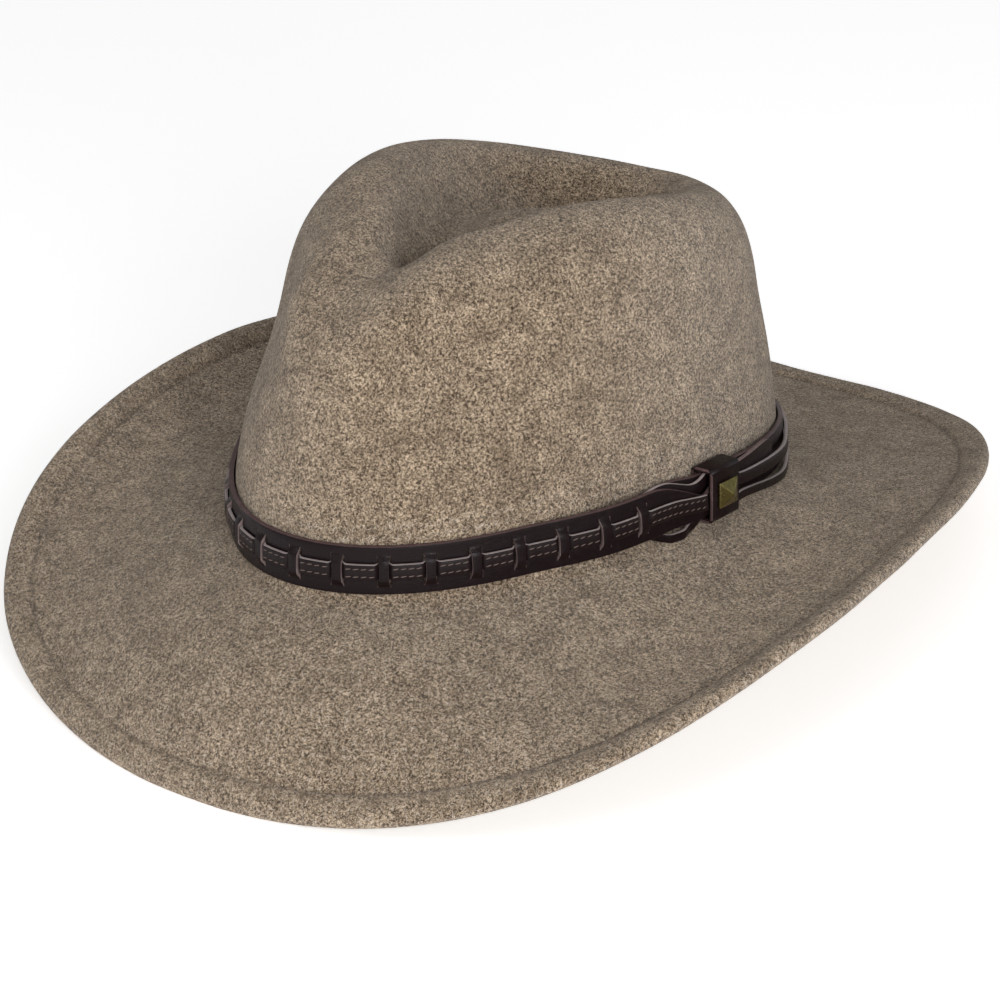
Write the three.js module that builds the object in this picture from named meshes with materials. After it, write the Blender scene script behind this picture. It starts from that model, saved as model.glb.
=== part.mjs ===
// A felt bush hat with a woven leather band. Millimetres, +Z up, front of the hat towards -Y,
// the wearer's left towards +X. The hat lies on the front and back edge of its brim at z = 0.
import * as THREE from 'three';
import * as BufferGeometryUtils from 'three/addons/utils/BufferGeometryUtils.js';

// Felt body
const crownLength = 218; // outside of the felt where crown and brim meet, front to back
const crownWidth = 155; // the same, side to side
const crownHeight = 100; // from that meeting line up to the ridge
const breakHeight = 42.4; // of the meeting line above the table, at the front
const brimWidth = 76; // along the felt, from the meeting line to the edge
const feltWall = 2.5;
const edgeFold = 9.5; // felt turned over on the upper face of the brim's edge
const foldGroove = 1.4; // width of the step at the fold's inner edge
const creaseDepth = 24; // of the crown's teardrop crease below its ridge
const pinchDepth = 7; // hollow on each side of the crown's front
const rootRadius = 3; // of the felt where the crown turns into the brim
const restFlat = 1.2; // how far the resting edges are pressed flat
const eggShare = 0.133; // the oval is this much wider behind than in front

// Band, keeper and stud
const bandHeight = 15.5;
const bandFoot = 3.4; // of the band's lower edge above the meeting line
const strapWall = 1.5;
const pieceGap = 0.35; // between pieces that touch
const feltGap = 0.6; // between the felt and what lies on it
const weavePitch = 14; // from one bridge of the strap to the next
const bridgeWidth = 3.2;
const slitWidth = 1.8;
const slitHeight = 10.5;
const bulgeHeight = 1.5; // over which a bridge rises from the strap to clear the lace
const laceHeight = 5.2; // the narrow strip woven through the strap
const laceWall = 1.1;
const laceFollow = 0.45; // how far the lace shifts with the strap's tapered end
const upperTailHeight = 4; // of the two strips that the strap's other end is split into
const lowerTailHeight = 3;
const tailWall = 1.3;
const loopDepth = 2.1; // how far the lower strip bows out below the strap
const tipRound = 6; // length of the rounding of the strap's tip
const tipPoint = 0.98; // how near that rounding comes to a point
const keeperWidth = 14.2;
const keeperHeight = 18.4;
const keeperRise = 6.7; // of its middle above the band's lower edge
const keeperWall = 1.2;
const keeperClear = 0.5; // between the keeper and what it holds
const keeperRound = 2; // radius of the keeper's outer corners
const studWidth = 9.2;
const studHeight = 8.6;
const studDepth = 3;
const studRim = 0.84; // straight part of the stud's side

// Angles run from the front, 0 degrees, over the wearer's left, 90, to the back, 180
const keeperAngle = 92.35;
const tongueTipAngle = 112;
const weaveStartAngle = 75;
const weaveEndAngle = -194;
const strapEndAngle = -280.3;
const tailRootAngle = 150;
const tailEndAngle = 74;
const rampStartAngle = 52; // where the strap leaves the felt to lie over its other end
const rampEndAngle = 72;
const swapStartAngle = 90.2; // where the strap's tip passes inwards between the two strips
const swapEndAngle = 93.2;
const swapBackAngle = 114; // where the strips turn back to the strap, past its tip
const swapGoneAngle = 130;
const layEndAngle = 140; // where the plain end lies close on the felt again
const loopStartAngle = 79; // of the lower strip's bow
const loopFullAngle = 81.2;
const loopTurnAngle = 83.4;
const loopEndAngle = 85.8;

// The brim at five even angles from front to back: width as a share of brimWidth, height of the
// meeting line as a share of breakHeight, and the felt's slope in degrees at its root and edge
const brimTable = [
  { width: 1.0, rise: 1.0, rootSlope: -10.3, edgeSlope: -68 },
  { width: 1.087, rise: 0.982, rootSlope: -17.9, edgeSlope: -12.9 },
  { width: 0.967, rise: 0.957, rootSlope: -17.6, edgeSlope: 26.4 },
  { width: 0.959, rise: 0.648, rootSlope: -9.8, edgeSlope: 12.6 },
  { width: 1.02, rise: 0.388, rootSlope: -10.5, edgeSlope: -12.6 },
];
const slopePower = 1.31; // how late across the brim its slope changes

// The ridge at nine even angles from front to back: height as a share of crownHeight, distance
// from the hat's middle as a share of the oval's, and the crease's depth as a share of creaseDepth
const ridgeTable = [
  { height: 0.867, reach: 0.498, crease: 0.72 },
  { height: 0.93, reach: 0.48, crease: 0.9 },
  { height: 0.974, reach: 0.452, crease: 1.0 },
  { height: 0.998, reach: 0.473, crease: 1.0 },
  { height: 1.007, reach: 0.55, crease: 1.0 },
  { height: 1.002, reach: 0.642, crease: 0.97 },
  { height: 0.999, reach: 0.718, crease: 0.85 },
  { height: 0.996, reach: 0.783, crease: 0.66 },
  { height: 0.99, reach: 0.823, crease: 0.52 },
];

// The crown's side: share of its height against share of the way in to the ridge
const sideTable = [
  { up: 0.03, inward: 0.001 },
  { up: 0.07, inward: 0.004 },
  { up: 0.2, inward: 0.027 },
  { up: 0.4, inward: 0.12 },
  { up: 0.6, inward: 0.234 },
  { up: 0.75, inward: 0.319 },
  { up: 0.87, inward: 0.463 },
  { up: 0.95, inward: 0.66 },
  { up: 0.99, inward: 0.85 },
];

// The crown's top: share of the way from the ridge to the spine against share of the depth
const topTable = [
  { inward: 0.1, drop: 0.045 },
  { inward: 0.22, drop: 0.28 },
  { inward: 0.34, drop: 0.66 },
  { inward: 0.48, drop: 0.95 },
  { inward: 0.62, drop: 0.96 },
  { inward: 0.8, drop: 0.78 },
];
const spineDrop = 0.7;
const spineFront = -0.1; // ends of the spine as shares of half the crown's length
const spineBack = 0.46;

const radians = Math.PI / 180;

// A smooth curve through values at even angles from 0 to 180 degrees, mirrored at both ends
function evenCurve(values) {
  const last = values.length - 1;
  const weights = values.map((_, k) => {
    let sum = 0;
    values.forEach((value, j) => {
      const share = j === 0 || j === last ? 0.5 : 1;
      sum += share * value * Math.cos((Math.PI * j * k) / last);
    });
    return (k === 0 || k === last ? 1 : 2) * (sum / last);
  });
  return (angle) => weights.reduce((sum, weight, k) => sum + weight * Math.cos(k * angle), 0);
}

const column = (table, name) => evenCurve(table.map((row) => row[name]));
const widthShare = column(brimTable, 'width');
const riseShare = column(brimTable, 'rise');
const rootSlope = column(brimTable, 'rootSlope');
const edgeSlope = column(brimTable, 'edgeSlope');
const ridgeShare = column(ridgeTable, 'height');
const reachShare = column(ridgeTable, 'reach');
const creaseShare = column(ridgeTable, 'crease');
const smooth = (value, from, to) => THREE.MathUtils.smoothstep(value, Math.min(from, to), Math.max(from, to));
const bell = (value, middle, width) => Math.exp(-(((value - middle) / width) ** 2));

// The oval where crown and brim meet, its outward direction and its height
function ovalPoint(angle) {
  const side = (crownWidth / 2) * Math.sin(angle) * (1 - eggShare * Math.cos(angle));
  const height = breakHeight * riseShare(angle) - restFlat;
  return new THREE.Vector3(side, (-crownLength / 2) * Math.cos(angle), height);
}

function outward(angle) {
  const along = (crownWidth / 2) * (Math.cos(angle) - eggShare * Math.cos(2 * angle));
  const across = (crownLength / 2) * Math.sin(angle);
  return new THREE.Vector3(across, -along, 0).normalize();
}

// A point of the brim's upper face, at a share of the way from the meeting line to the edge
function brimPoint(angle, share) {
  const width = brimWidth * widthShare(angle);
  const steps = 24;
  let out = 0;
  let up = 0;
  for (let i = 0; i < steps; i += 1) {
    const way = (share * (i + 0.5)) / steps;
    const slope = rootSlope(angle) + (edgeSlope(angle) - rootSlope(angle)) * way ** slopePower;
    out += (Math.cos(slope * radians) * width * share) / steps;
    up += (Math.sin(slope * radians) * width * share) / steps;
  }
  const point = ovalPoint(angle).addScaledVector(outward(angle), out);
  point.z += up;
  return point;
}

// A point of the crown's side, at a share of its height and of the way in to the ridge
function sidePoint(angle, up, inward) {
  const foot = ovalPoint(angle);
  const reach = 1 - (1 - reachShare(angle)) * inward;
  const degrees = Math.abs(THREE.MathUtils.euclideanModulo(angle / radians + 180, 360) - 180);
  const pinch = pinchDepth * bell(degrees, 41, 20) * bell(up, 0.73, 0.22);
  const point = new THREE.Vector3(foot.x * reach, foot.y * reach, foot.z);
  point.addScaledVector(outward(angle), -pinch);
  point.z += up * crownHeight * ridgeShare(angle);
  return point;
}

// A point of the crown's top, between the ridge and the spine in the middle of the crease
function topPoint(angle, inward, drop) {
  const ridge = sidePoint(angle, 1, 1);
  const spineMiddle = (spineFront + spineBack) / 2;
  const spineHalf = (spineBack - spineFront) / 2;
  const spine = (crownLength / 2) * (spineMiddle - spineHalf * Math.cos(angle));
  const depth = creaseDepth * creaseShare(angle) * drop;
  const point = new THREE.Vector3(ridge.x * (1 - inward), 0, ridge.z - depth);
  point.y = ridge.y * (1 - inward) + spine * inward;
  return point;
}

// The spine is one line in the middle of the hat, where both sides of the crease meet
function spinePoint(angle) {
  const point = topPoint(angle, 1, spineDrop);
  point.x = 0;
  return point;
}

// The felt's upper face as rows of rings, from the spine out to the brim's edge
const angleSteps = 42;
const curveSteps = 2;
const brimSteps = 6;
const crownRows = (topTable.length + sideTable.length + 1) * curveSteps;
const filletRise = 0.35 * rootRadius; // the felt's upper face just out from the meeting line
const filletReach = 1.2 * rootRadius;

function upperCurve(angle) {
  const points = [spinePoint(angle)];
  [...topTable].reverse().forEach((row) => points.push(topPoint(angle, row.inward, row.drop)));
  points.push(sidePoint(angle, 1, 1));
  [...sideTable].reverse().forEach((row) => points.push(sidePoint(angle, row.up, row.inward)));
  const curve = new THREE.CatmullRomCurve3(points, false, 'centripetal');
  const rows = curve.getPoints((points.length - 1) * curveSteps);
  const width = brimWidth * widthShare(angle);
  rows.push(brimPoint(angle, filletRise / width).setZ(ovalPoint(angle).z + filletRise));
  const flat = 1 - (edgeFold + foldGroove) / width;
  for (let i = 0; i <= brimSteps; i += 1) {
    const share = filletReach / width;
    rows.push(brimPoint(angle, share + ((flat - share) * i) / brimSteps));
  }
  return rows;
}

// The edge: distance in from the rim and height off the single felt, over the fold and round the nose
const edgeTable = [
  { inset: 1.0, lift: 0.86 },
  { inset: 0.3, lift: 0.95 },
  { inset: 0.05, lift: 0.55 },
  { inset: 0, lift: 0 },
  { inset: 0.07, lift: -0.6 },
  { inset: 0.22, lift: -0.9 },
  { inset: 0.5, lift: -1.0 },
];

function feltBody() {
  const rings = [];
  for (let j = 0; j < angleSteps; j += 1) rings.push(upperCurve((j * 2 * Math.PI) / angleSteps));
  const upperCount = rings[0].length;
  const normalAt = (i, j) => {
    const before = rings[(j + angleSteps - 1) % angleSteps];
    const after = rings[(j + 1) % angleSteps];
    const round = after[i].clone().sub(before[i]);
    const ring = rings[j];
    const away = ring[Math.min(i + 1, upperCount - 1)].clone().sub(ring[Math.max(i - 1, 0)]);
    return round.cross(away).multiplyScalar(-1).normalize();
  };
  const sections = rings.map((ring, j) => {
    const angle = (j * 2 * Math.PI) / angleSteps;
    const width = brimWidth * widthShare(angle);
    const normals = ring.map((_, i) => (i === 0 ? new THREE.Vector3(0, 0, 1) : normalAt(i, j)));
    const slope = edgeSlope(angle) * radians;
    const edgeNormal = outward(angle).multiplyScalar(-Math.sin(slope));
    edgeNormal.z = Math.cos(slope);
    const edge = edgeTable.map((row) => {
      const point = brimPoint(angle, 1 - (row.inset * edgeFold) / width);
      return point.addScaledVector(edgeNormal, row.lift * feltWall);
    });
    const lower = ring.map((point, i) => point.clone().addScaledVector(normals[i], -feltWall));
    const inside = lower.filter((_, i) => i % 2 === 0 || i > crownRows);
    return [...ring, ...edge, ...inside.reverse()];
  });
  sections.flat().forEach((point) => {
    point.z = Math.max(point.z, 0);
  });
  return closedGrid(sections);
}

// A closed body from sections that run round a loop. At the spine, where they meet, the rings on
// both sides fall together and are merged
function closedGrid(sections) {
  const positions = [];
  const index = [];
  const rowCount = sections[0].length;
  sections.forEach((section) => section.forEach((point) => positions.push(point.x, point.y, point.z)));
  for (let j = 0; j < sections.length; j += 1) {
    const next = (j + 1) % sections.length;
    for (let i = 0; i < rowCount - 1; i += 1) {
      const corners = [j * rowCount + i, j * rowCount + i + 1, next * rowCount + i + 1, next * rowCount + i];
      index.push(corners[0], corners[1], corners[2], corners[0], corners[2], corners[3]);
    }
  }
  return solidGeometry(positions, index);
}

function solidGeometry(positions, index) {
  const raw = new THREE.BufferGeometry();
  raw.setAttribute('position', new THREE.Float32BufferAttribute(positions, 3));
  raw.setIndex(index);
  const merged = BufferGeometryUtils.mergeVertices(raw, 1e-3);
  const source = merged.getIndex().array;
  const kept = [];
  for (let i = 0; i < source.length; i += 3) {
    const [a, b, c] = [source[i], source[i + 1], source[i + 2]];
    if (a !== b && b !== c && c !== a) kept.push(a, b, c);
  }
  merged.setIndex(kept);
  merged.computeVertexNormals();
  return merged;
}

// The narrow edge sides of a strap, lace or tail are square, so a station along it has four corners
function bandPoint(angle, height, out) {
  const up = (bandFoot + height) / (crownHeight * ridgeShare(angle));
  const rows = [{ up: 0, inward: 0 }, ...sideTable];
  const next = Math.max(rows.findIndex((row) => row.up > up), 1);
  const share = (up - rows[next - 1].up) / (rows[next].up - rows[next - 1].up);
  const inward = rows[next - 1].inward + share * (rows[next].inward - rows[next - 1].inward);
  const foot = ovalPoint(angle);
  const reach = 1 - (1 - reachShare(angle)) * inward;
  const point = new THREE.Vector3(foot.x * reach, foot.y * reach, foot.z + bandFoot + height);
  return point.addScaledVector(outward(angle), out);
}

// The angle that lies a distance along the band from another angle
function walk(angle, distance) {
  const steps = 12;
  let found = angle;
  for (let i = 0; i < steps; i += 1) {
    const along = (crownWidth / 2) * (Math.cos(found) - eggShare * Math.cos(2 * found));
    const across = (crownLength / 2) * Math.sin(found);
    found += distance / steps / Math.hypot(along, across);
  }
  return found;
}

function ribbon(route) {
  const stations = route[0].angle < route[1].angle ? route : [...route].reverse();
  const positions = [];
  const index = [];
  stations.forEach(({ angle, base, wall, low, high }) => {
    const corners = [[low, base], [high, base], [high, base + wall], [low, base + wall]];
    corners.forEach(([height, out]) => positions.push(...bandPoint(angle, height, out).toArray()));
  });
  for (let j = 0; j < stations.length - 1; j += 1) {
    for (let i = 0; i < 4; i += 1) {
      const [a, b] = [j * 4 + i, j * 4 + ((i + 1) % 4)];
      index.push(a, b, b + 4, a, b + 4, a + 4);
    }
  }
  const end = (stations.length - 1) * 4;
  index.push(0, 2, 1, 0, 3, 2, end, end + 1, end + 2, end, end + 2, end + 3);
  return solidGeometry(positions, index);
}

// A value between the rows of a table, without kinks
function between(table, name, angle) {
  const degrees = angle / radians;
  const last = table.length - 1;
  const found = table.findIndex((row) => row.angle >= degrees);
  const next = found < 0 ? last : Math.max(found, 1);
  const slope = (row) => {
    const before = table[Math.max(row - 1, 0)];
    const after = table[Math.min(row + 1, last)];
    return (after[name] - before[name]) / (after.angle - before.angle);
  };
  const span = table[next].angle - table[next - 1].angle;
  const share = THREE.MathUtils.clamp((degrees - table[next - 1].angle) / span, 0, 1);
  const pull = span * share * (1 - share);
  const line = THREE.MathUtils.lerp(table[next - 1][name], table[next][name], share * share * (3 - 2 * share));
  return line + pull * (slope(next - 1) * (1 - share) - slope(next) * share);
}

// The strap's tapered end: its height and its middle as shares of bandHeight
const tongueTable = [
  { angle: 74, height: 1, middle: 0.5 },
  { angle: 78, height: 1, middle: 0.5 },
  { angle: 80.5, height: 0.93, middle: 0.475 },
  { angle: 83, height: 0.8, middle: 0.42 },
  { angle: 85.5, height: 0.65, middle: 0.35 },
  { angle: 88.4, height: 0.45, middle: 0.29 },
  { angle: 90.2, height: 0.45, middle: 0.419 },
  { angle: 93.2, height: 0.45, middle: 0.419 },
  { angle: 98, height: 0.47, middle: 0.565 },
  { angle: 102.5, height: 0.47, middle: 0.61 },
  { angle: 108, height: 0.47, middle: 0.665 },
  { angle: 112, height: 0.47, middle: 0.68 },
];

// The strap's plain end, which lies on the felt under the keeper, in the same shares
const plainTable = [
  { angle: 79.7, height: 0.66, middle: 0.5 },
  { angle: 80.2, height: 0.8, middle: 0.5 },
  { angle: 81.2, height: 0.87, middle: 0.5 },
  { angle: 84, height: 0.9, middle: 0.48 },
  { angle: 88, height: 0.9, middle: 0.43 },
  { angle: 97, height: 0.9, middle: 0.42 },
  { angle: 106, height: 0.9, middle: 0.38 },
  { angle: 120, height: 0.9, middle: 0.36 },
  { angle: 150, height: 0.92, middle: 0.42 },
  { angle: 175, height: 1, middle: 0.5 },
];

// The middles of the upper and the lower split strip as shares of bandHeight
const tailTable = [
  { angle: 74, upper: 0.72, lower: 0.24 },
  { angle: 77, upper: 0.83, lower: 0.02 },
  { angle: 79.3, upper: 0.88, lower: -0.13 },
  { angle: 81.5, upper: 0.86, lower: -0.19 },
  { angle: 84, upper: 0.76, lower: -0.18 },
  { angle: 86.4, upper: 0.67, lower: -0.11 },
  { angle: 88.4, upper: 0.7, lower: 0.065 },
  { angle: 90.2, upper: 0.797, lower: 0.065 },
  { angle: 93.2, upper: 0.797, lower: 0.065 },
  { angle: 96.6, upper: 0.55, lower: 0.1 },
  { angle: 99, upper: 0.48, lower: 0.11 },
  { angle: 104, upper: 0.44, lower: 0.035 },
  { angle: 110, upper: 0.4, lower: -0.075 },
  { angle: 116, upper: 0.375, lower: -0.14 },
  { angle: 121, upper: 0.38, lower: -0.13 },
  { angle: 128, upper: 0.41, lower: -0.04 },
  { angle: 136, upper: 0.46, lower: 0.07 },
  { angle: 150, upper: 0.56, lower: 0.2 },
];

const keeperFlatShare = 0.6; // shares of the keeper's width, from its middle, over which the band
const keeperEaseShare = 1.5; // lies flat, and then comes down to the felt on the front side
const keeperMiddle = keeperAngle * radians;
const keeperReach = walk(keeperMiddle, keeperWidth / 2) - keeperMiddle;
const keeperFlat = walk(keeperMiddle, keeperFlatShare * keeperWidth) - keeperMiddle;
const keeperEase = walk(keeperMiddle, keeperEaseShare * keeperWidth) - keeperMiddle;
const tailRoot = tailRootAngle * radians;
const tongueTip = tongueTipAngle * radians;

// How far each layer of the band stands off the felt. The strap's plain end lies lowest. Before the
// keeper the split strips lie on it, under the strap's tapered end, and behind it they lie over that
function underBase(angle) {
  const past = angle - keeperMiddle;
  const far = past < 0 ? keeperEase : layEndAngle * radians - keeperMiddle;
  return feltGap + (keeperWall + keeperClear) * (1 - smooth(Math.abs(past), keeperFlat, far));
}

function swapped(angle) {
  const there = smooth(angle, swapStartAngle * radians, swapEndAngle * radians);
  return there * (1 - smooth(angle, swapBackAngle * radians, swapGoneAngle * radians));
}

function tailBase(name, angle) {
  const degrees = angle / radians;
  const there = smooth(degrees, loopStartAngle, loopFullAngle);
  const loop = there * (1 - smooth(degrees, loopTurnAngle, loopEndAngle));
  const bow = name === 'lower' ? loopDepth * loop : 0;
  return underBase(angle) + strapWall + pieceGap + (strapWall + pieceGap) * swapped(angle) + bow;
}

function strapBase(angle) {
  if (angle < -Math.PI) return underBase(angle + 2 * Math.PI);
  const inner = underBase(angle) + strapWall + pieceGap;
  const outer = inner + (tailWall + pieceGap) * (1 - swapped(Math.min(angle, tongueTip)));
  return THREE.MathUtils.lerp(feltGap, outer, smooth(angle, rampStartAngle * radians, rampEndAngle * radians));
}

function strapHeight(angle) {
  if (angle < -Math.PI) return bandHeight * between(plainTable, 'height', angle + 2 * Math.PI);
  const toTip = (tongueTip - angle) / (walk(tongueTip, tipRound) - tongueTip);
  const round = Math.sqrt(1 - Math.max(tipPoint - toTip, 0) ** 2);
  return bandHeight * between(tongueTable, 'height', angle) * round;
}

function strapMiddle(angle) {
  if (angle < -Math.PI) return bandHeight * between(plainTable, 'middle', angle + 2 * Math.PI);
  return bandHeight * between(tongueTable, 'middle', angle);
}

// Stations along the strap: every bridge of the weave has one at each side of its two slits
const fineStep = 2.6;
const plainStep = 6;

function strapStations() {
  const stations = [];
  const add = (angle, kind) => stations.push({ angle, kind });
  const run = (from, to) => {
    let angle = from;
    while (angle > to) {
      add(angle, 'plain');
      const along = angle < -Math.PI ? angle + 2 * Math.PI : angle;
      angle = walk(angle, along < tongueTip ? -fineStep : -plainStep);
    }
  };
  [0, 0.4, 1.2].forEach((distance) => add(walk(tongueTip, -distance), 'plain'));
  const firstSlit = bridgeWidth / 2 + slitWidth;
  run(walk(tongueTip, -2.6), walk(bridgeAngles[0], firstSlit + fineStep / 2));
  bridgeAngles.forEach((middle) => {
    add(walk(middle, firstSlit), 'slit');
    add(walk(middle, bridgeWidth / 2), 'bridge');
    add(walk(middle, -bridgeWidth / 2), 'slit');
    add(walk(middle, -firstSlit), 'plain');
  });
  run(walk(stations[stations.length - 1].angle, -plainStep), strapEndAngle * radians);
  add(strapEndAngle * radians, 'plain');
  return stations;
}

const bridgeAngles = [weaveStartAngle * radians];
while (bridgeAngles[bridgeAngles.length - 1] > weaveEndAngle * radians) {
  bridgeAngles.push(walk(bridgeAngles[bridgeAngles.length - 1], -weavePitch));
}

// The strap is a sheet of cells: a slit is a missing cell between a bridge and the plain strap
function hatBand() {
  const stations = strapStations();
  const slitLow = (bandHeight - slitHeight) / 2;
  const bulgeLow = slitLow + bulgeHeight;
  const levels = [0, slitLow, bulgeLow, bandHeight - bulgeLow, bandHeight - slitLow];
  const shares = [...levels, bandHeight].map((level) => level / bandHeight);
  const bulge = laceWall + pieceGap;
  const bridgeLevels = [0, 1, 2, 3, 4, 5];
  const plainLevels = [0, 1, 4, 5];
  const kindAt = (j) => (j < 0 || j > stations.length - 2 ? 'none' : stations[j].kind);
  const positions = [];
  const index = [];
  stations.forEach(({ angle }, j) => {
    const height = strapHeight(angle);
    const low = strapMiddle(angle) - height / 2;
    const besideBridge = kindAt(j) === 'bridge' || kindAt(j - 1) === 'bridge';
    shares.forEach((share, i) => {
      const base = strapBase(angle) + (besideBridge && (i === 2 || i === 3) ? bulge : 0);
      positions.push(...bandPoint(angle, low + height * share, base).toArray());
      positions.push(...bandPoint(angle, low + height * share, base + strapWall).toArray());
    });
  });
  const at = (j, i, side) => 2 * (j * shares.length + i) + side;
  const quad = (a, b, c, d) => index.push(a, b, c, a, c, d);
  const isOpen = (j, i) => kindAt(j) === 'none' || (kindAt(j) === 'slit' && i > 0 && i < 4);
  for (let j = 0; j < stations.length - 1; j += 1) {
    const used = kindAt(j) === 'bridge' ? bridgeLevels : plainLevels;
    used.slice(0, -1).forEach((i, place) => {
      if (isOpen(j, i)) return;
      const up = used[place + 1];
      quad(at(j, i, 1), at(j, up, 1), at(j + 1, up, 1), at(j + 1, i, 1));
      quad(at(j, i, 0), at(j + 1, i, 0), at(j + 1, up, 0), at(j, up, 0));
      if (isOpen(j - 1, i)) quad(at(j, i, 0), at(j, up, 0), at(j, up, 1), at(j, i, 1));
      if (isOpen(j + 1, i)) quad(at(j + 1, i, 0), at(j + 1, i, 1), at(j + 1, up, 1), at(j + 1, up, 0));
      if (i === 0 || isOpen(j, i - 1)) quad(at(j, i, 0), at(j, i, 1), at(j + 1, i, 1), at(j + 1, i, 0));
      if (up === 5 || isOpen(j, up)) quad(at(j, up, 0), at(j + 1, up, 0), at(j + 1, up, 1), at(j, up, 1));
    });
  }
  return solidGeometry(positions, index);
}

// The lace lies over the strap between the bridges and dives through the slits under each bridge
function wovenLace() {
  const stations = [];
  const add = (angle, under) => {
    const over = strapBase(angle) + strapWall + pieceGap;
    const base = under ? strapBase(angle) : over;
    const middle = THREE.MathUtils.lerp(bandHeight / 2, strapMiddle(angle), laceFollow);
    stations.push({ angle, base, wall: laceWall, low: middle - laceHeight / 2, high: middle + laceHeight / 2 });
  };
  const firstSlit = bridgeWidth / 2 + slitWidth;
  let angle = walk(keeperMiddle - keeperReach, -3 * pieceGap);
  while (angle > walk(bridgeAngles[0], firstSlit)) {
    add(angle, false);
    angle = walk(angle, -fineStep);
  }
  bridgeAngles.forEach((middle) => {
    add(walk(middle, firstSlit), false);
    add(walk(middle, bridgeWidth / 2), true);
    add(walk(middle, -bridgeWidth / 2), true);
    add(walk(middle, -firstSlit), false);
  });
  const last = bridgeAngles[bridgeAngles.length - 1];
  add(walk(last, -weavePitch / 2), false);
  return ribbon(stations);
}

function splitTail(name, height) {
  const stations = [];
  let angle = tailEndAngle * radians;
  while (angle < tailRoot) {
    const low = bandHeight * between(tailTable, name, angle) - height / 2;
    stations.push({ angle, base: tailBase(name, angle), wall: tailWall, low, high: low + height });
    angle = walk(angle, angle < tongueTip ? fineStep : fineStep * 2);
  }
  return ribbon(stations);
}

// The keeper is a flat loop square to the band, so it is made in its own plane: out and up
function keeperFrame() {
  const origin = bandPoint(keeperMiddle, keeperRise, 0);
  const ahead = bandPoint(keeperMiddle - keeperReach, keeperRise, 0);
  const along = ahead.sub(bandPoint(keeperMiddle + keeperReach, keeperRise, 0)).normalize();
  const rise = bandPoint(keeperMiddle, bandHeight, 0).sub(bandPoint(keeperMiddle, 0, 0));
  const out = rise.cross(along).normalize();
  const up = along.clone().cross(out);
  const matrix = new THREE.Matrix4().makeBasis(out, up, out.clone().cross(up));
  return { origin, matrix };
}

const keeperInside = 2 * strapWall + tailWall + 2 * (pieceGap + keeperClear);
const keeperOuter = feltGap + 2 * keeperWall + keeperInside;

function roundedLoop(Kind, left, right, bottom, top, radius) {
  const loop = new Kind();
  loop.moveTo(left + radius, bottom);
  loop.lineTo(right - radius, bottom);
  loop.absarc(right - radius, bottom + radius, radius, -Math.PI / 2, 0);
  loop.absarc(right - radius, top - radius, radius, 0, Math.PI / 2);
  loop.absarc(left + radius, top - radius, radius, Math.PI / 2, Math.PI);
  loop.absarc(left + radius, bottom + radius, radius, Math.PI, 1.5 * Math.PI);
  return loop;
}

function keeper() {
  const half = keeperHeight / 2;
  const shape = roundedLoop(THREE.Shape, feltGap, keeperOuter, -half, half, keeperRound);
  const left = feltGap + keeperWall;
  const right = keeperOuter - keeperWall;
  const inner = half - keeperWall;
  shape.holes.push(roundedLoop(THREE.Path, left, right, -inner, inner, keeperRound - keeperWall));
  const options = { depth: keeperWidth, bevelEnabled: false, curveSegments: 3 };
  const geometry = new THREE.ExtrudeGeometry(shape, options).translate(0, 0, -keeperWidth / 2);
  return cleaned(geometry);
}

// A four-sided pyramid stud with a low straight rim
function pyramidStud() {
  const profile = [[0, 0], [Math.SQRT1_2, 0], [Math.SQRT1_2, studRim], [0, studDepth]];
  const points = profile.map(([reach, height]) => new THREE.Vector2(reach, height));
  const geometry = new THREE.LatheGeometry(points, 4).rotateY(Math.PI / 4).rotateZ(-Math.PI / 2);
  geometry.scale(1, studHeight, studWidth);
  return cleaned(geometry.translate(keeperOuter + pieceGap, 0, 0));
}

function cleaned(geometry) {
  geometry.deleteAttribute('normal');
  geometry.deleteAttribute('uv');
  const plain = BufferGeometryUtils.mergeVertices(geometry, 1e-4);
  return solidGeometry([...plain.getAttribute('position').array], [...plain.getIndex().array]);
}

const felt = new THREE.MeshStandardMaterial({ color: 0x8a7b6a, roughness: 0.95, metalness: 0 });
const strapLeather = new THREE.MeshStandardMaterial({ color: 0x2c2422, roughness: 0.5, metalness: 0 });
const laceLeather = new THREE.MeshStandardMaterial({ color: 0x352a27, roughness: 0.55, metalness: 0 });
const keeperLeather = new THREE.MeshStandardMaterial({ color: 0x2a211f, roughness: 0.5, metalness: 0 });
const brass = new THREE.MeshStandardMaterial({ color: 0x8d8358, roughness: 0.35, metalness: 0.9 });

function part(name, geometry, material) {
  const mesh = new THREE.Mesh(geometry, material);
  mesh.name = name;
  return mesh;
}

const bushHat = new THREE.Group();
const feltGeometry = feltBody();
bushHat.add(part('felt_body', feltGeometry, felt));
bushHat.add(part('hat_band', hatBand(), strapLeather));
bushHat.add(part('woven_lace', wovenLace(), laceLeather));
bushHat.add(part('split_tail_upper', splitTail('upper', upperTailHeight), strapLeather));
bushHat.add(part('split_tail_lower', splitTail('lower', lowerTailHeight), strapLeather));

const keeperSeat = new THREE.Group();
const { origin, matrix } = keeperFrame();
keeperSeat.quaternion.setFromRotationMatrix(matrix);
keeperSeat.position.copy(origin);
keeperSeat.add(part('keeper', keeper(), keeperLeather));
keeperSeat.add(part('pyramid_stud', pyramidStud(), brass));
bushHat.add(keeperSeat);

// The hat's frame has its origin under the middle of the brim
feltGeometry.computeBoundingBox();
bushHat.position.y = -feltGeometry.boundingBox.getCenter(new THREE.Vector3()).y;

export default bushHat;
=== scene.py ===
import math
import random

import bmesh
import bpy
from mathutils import Matrix, Vector, noise


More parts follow.
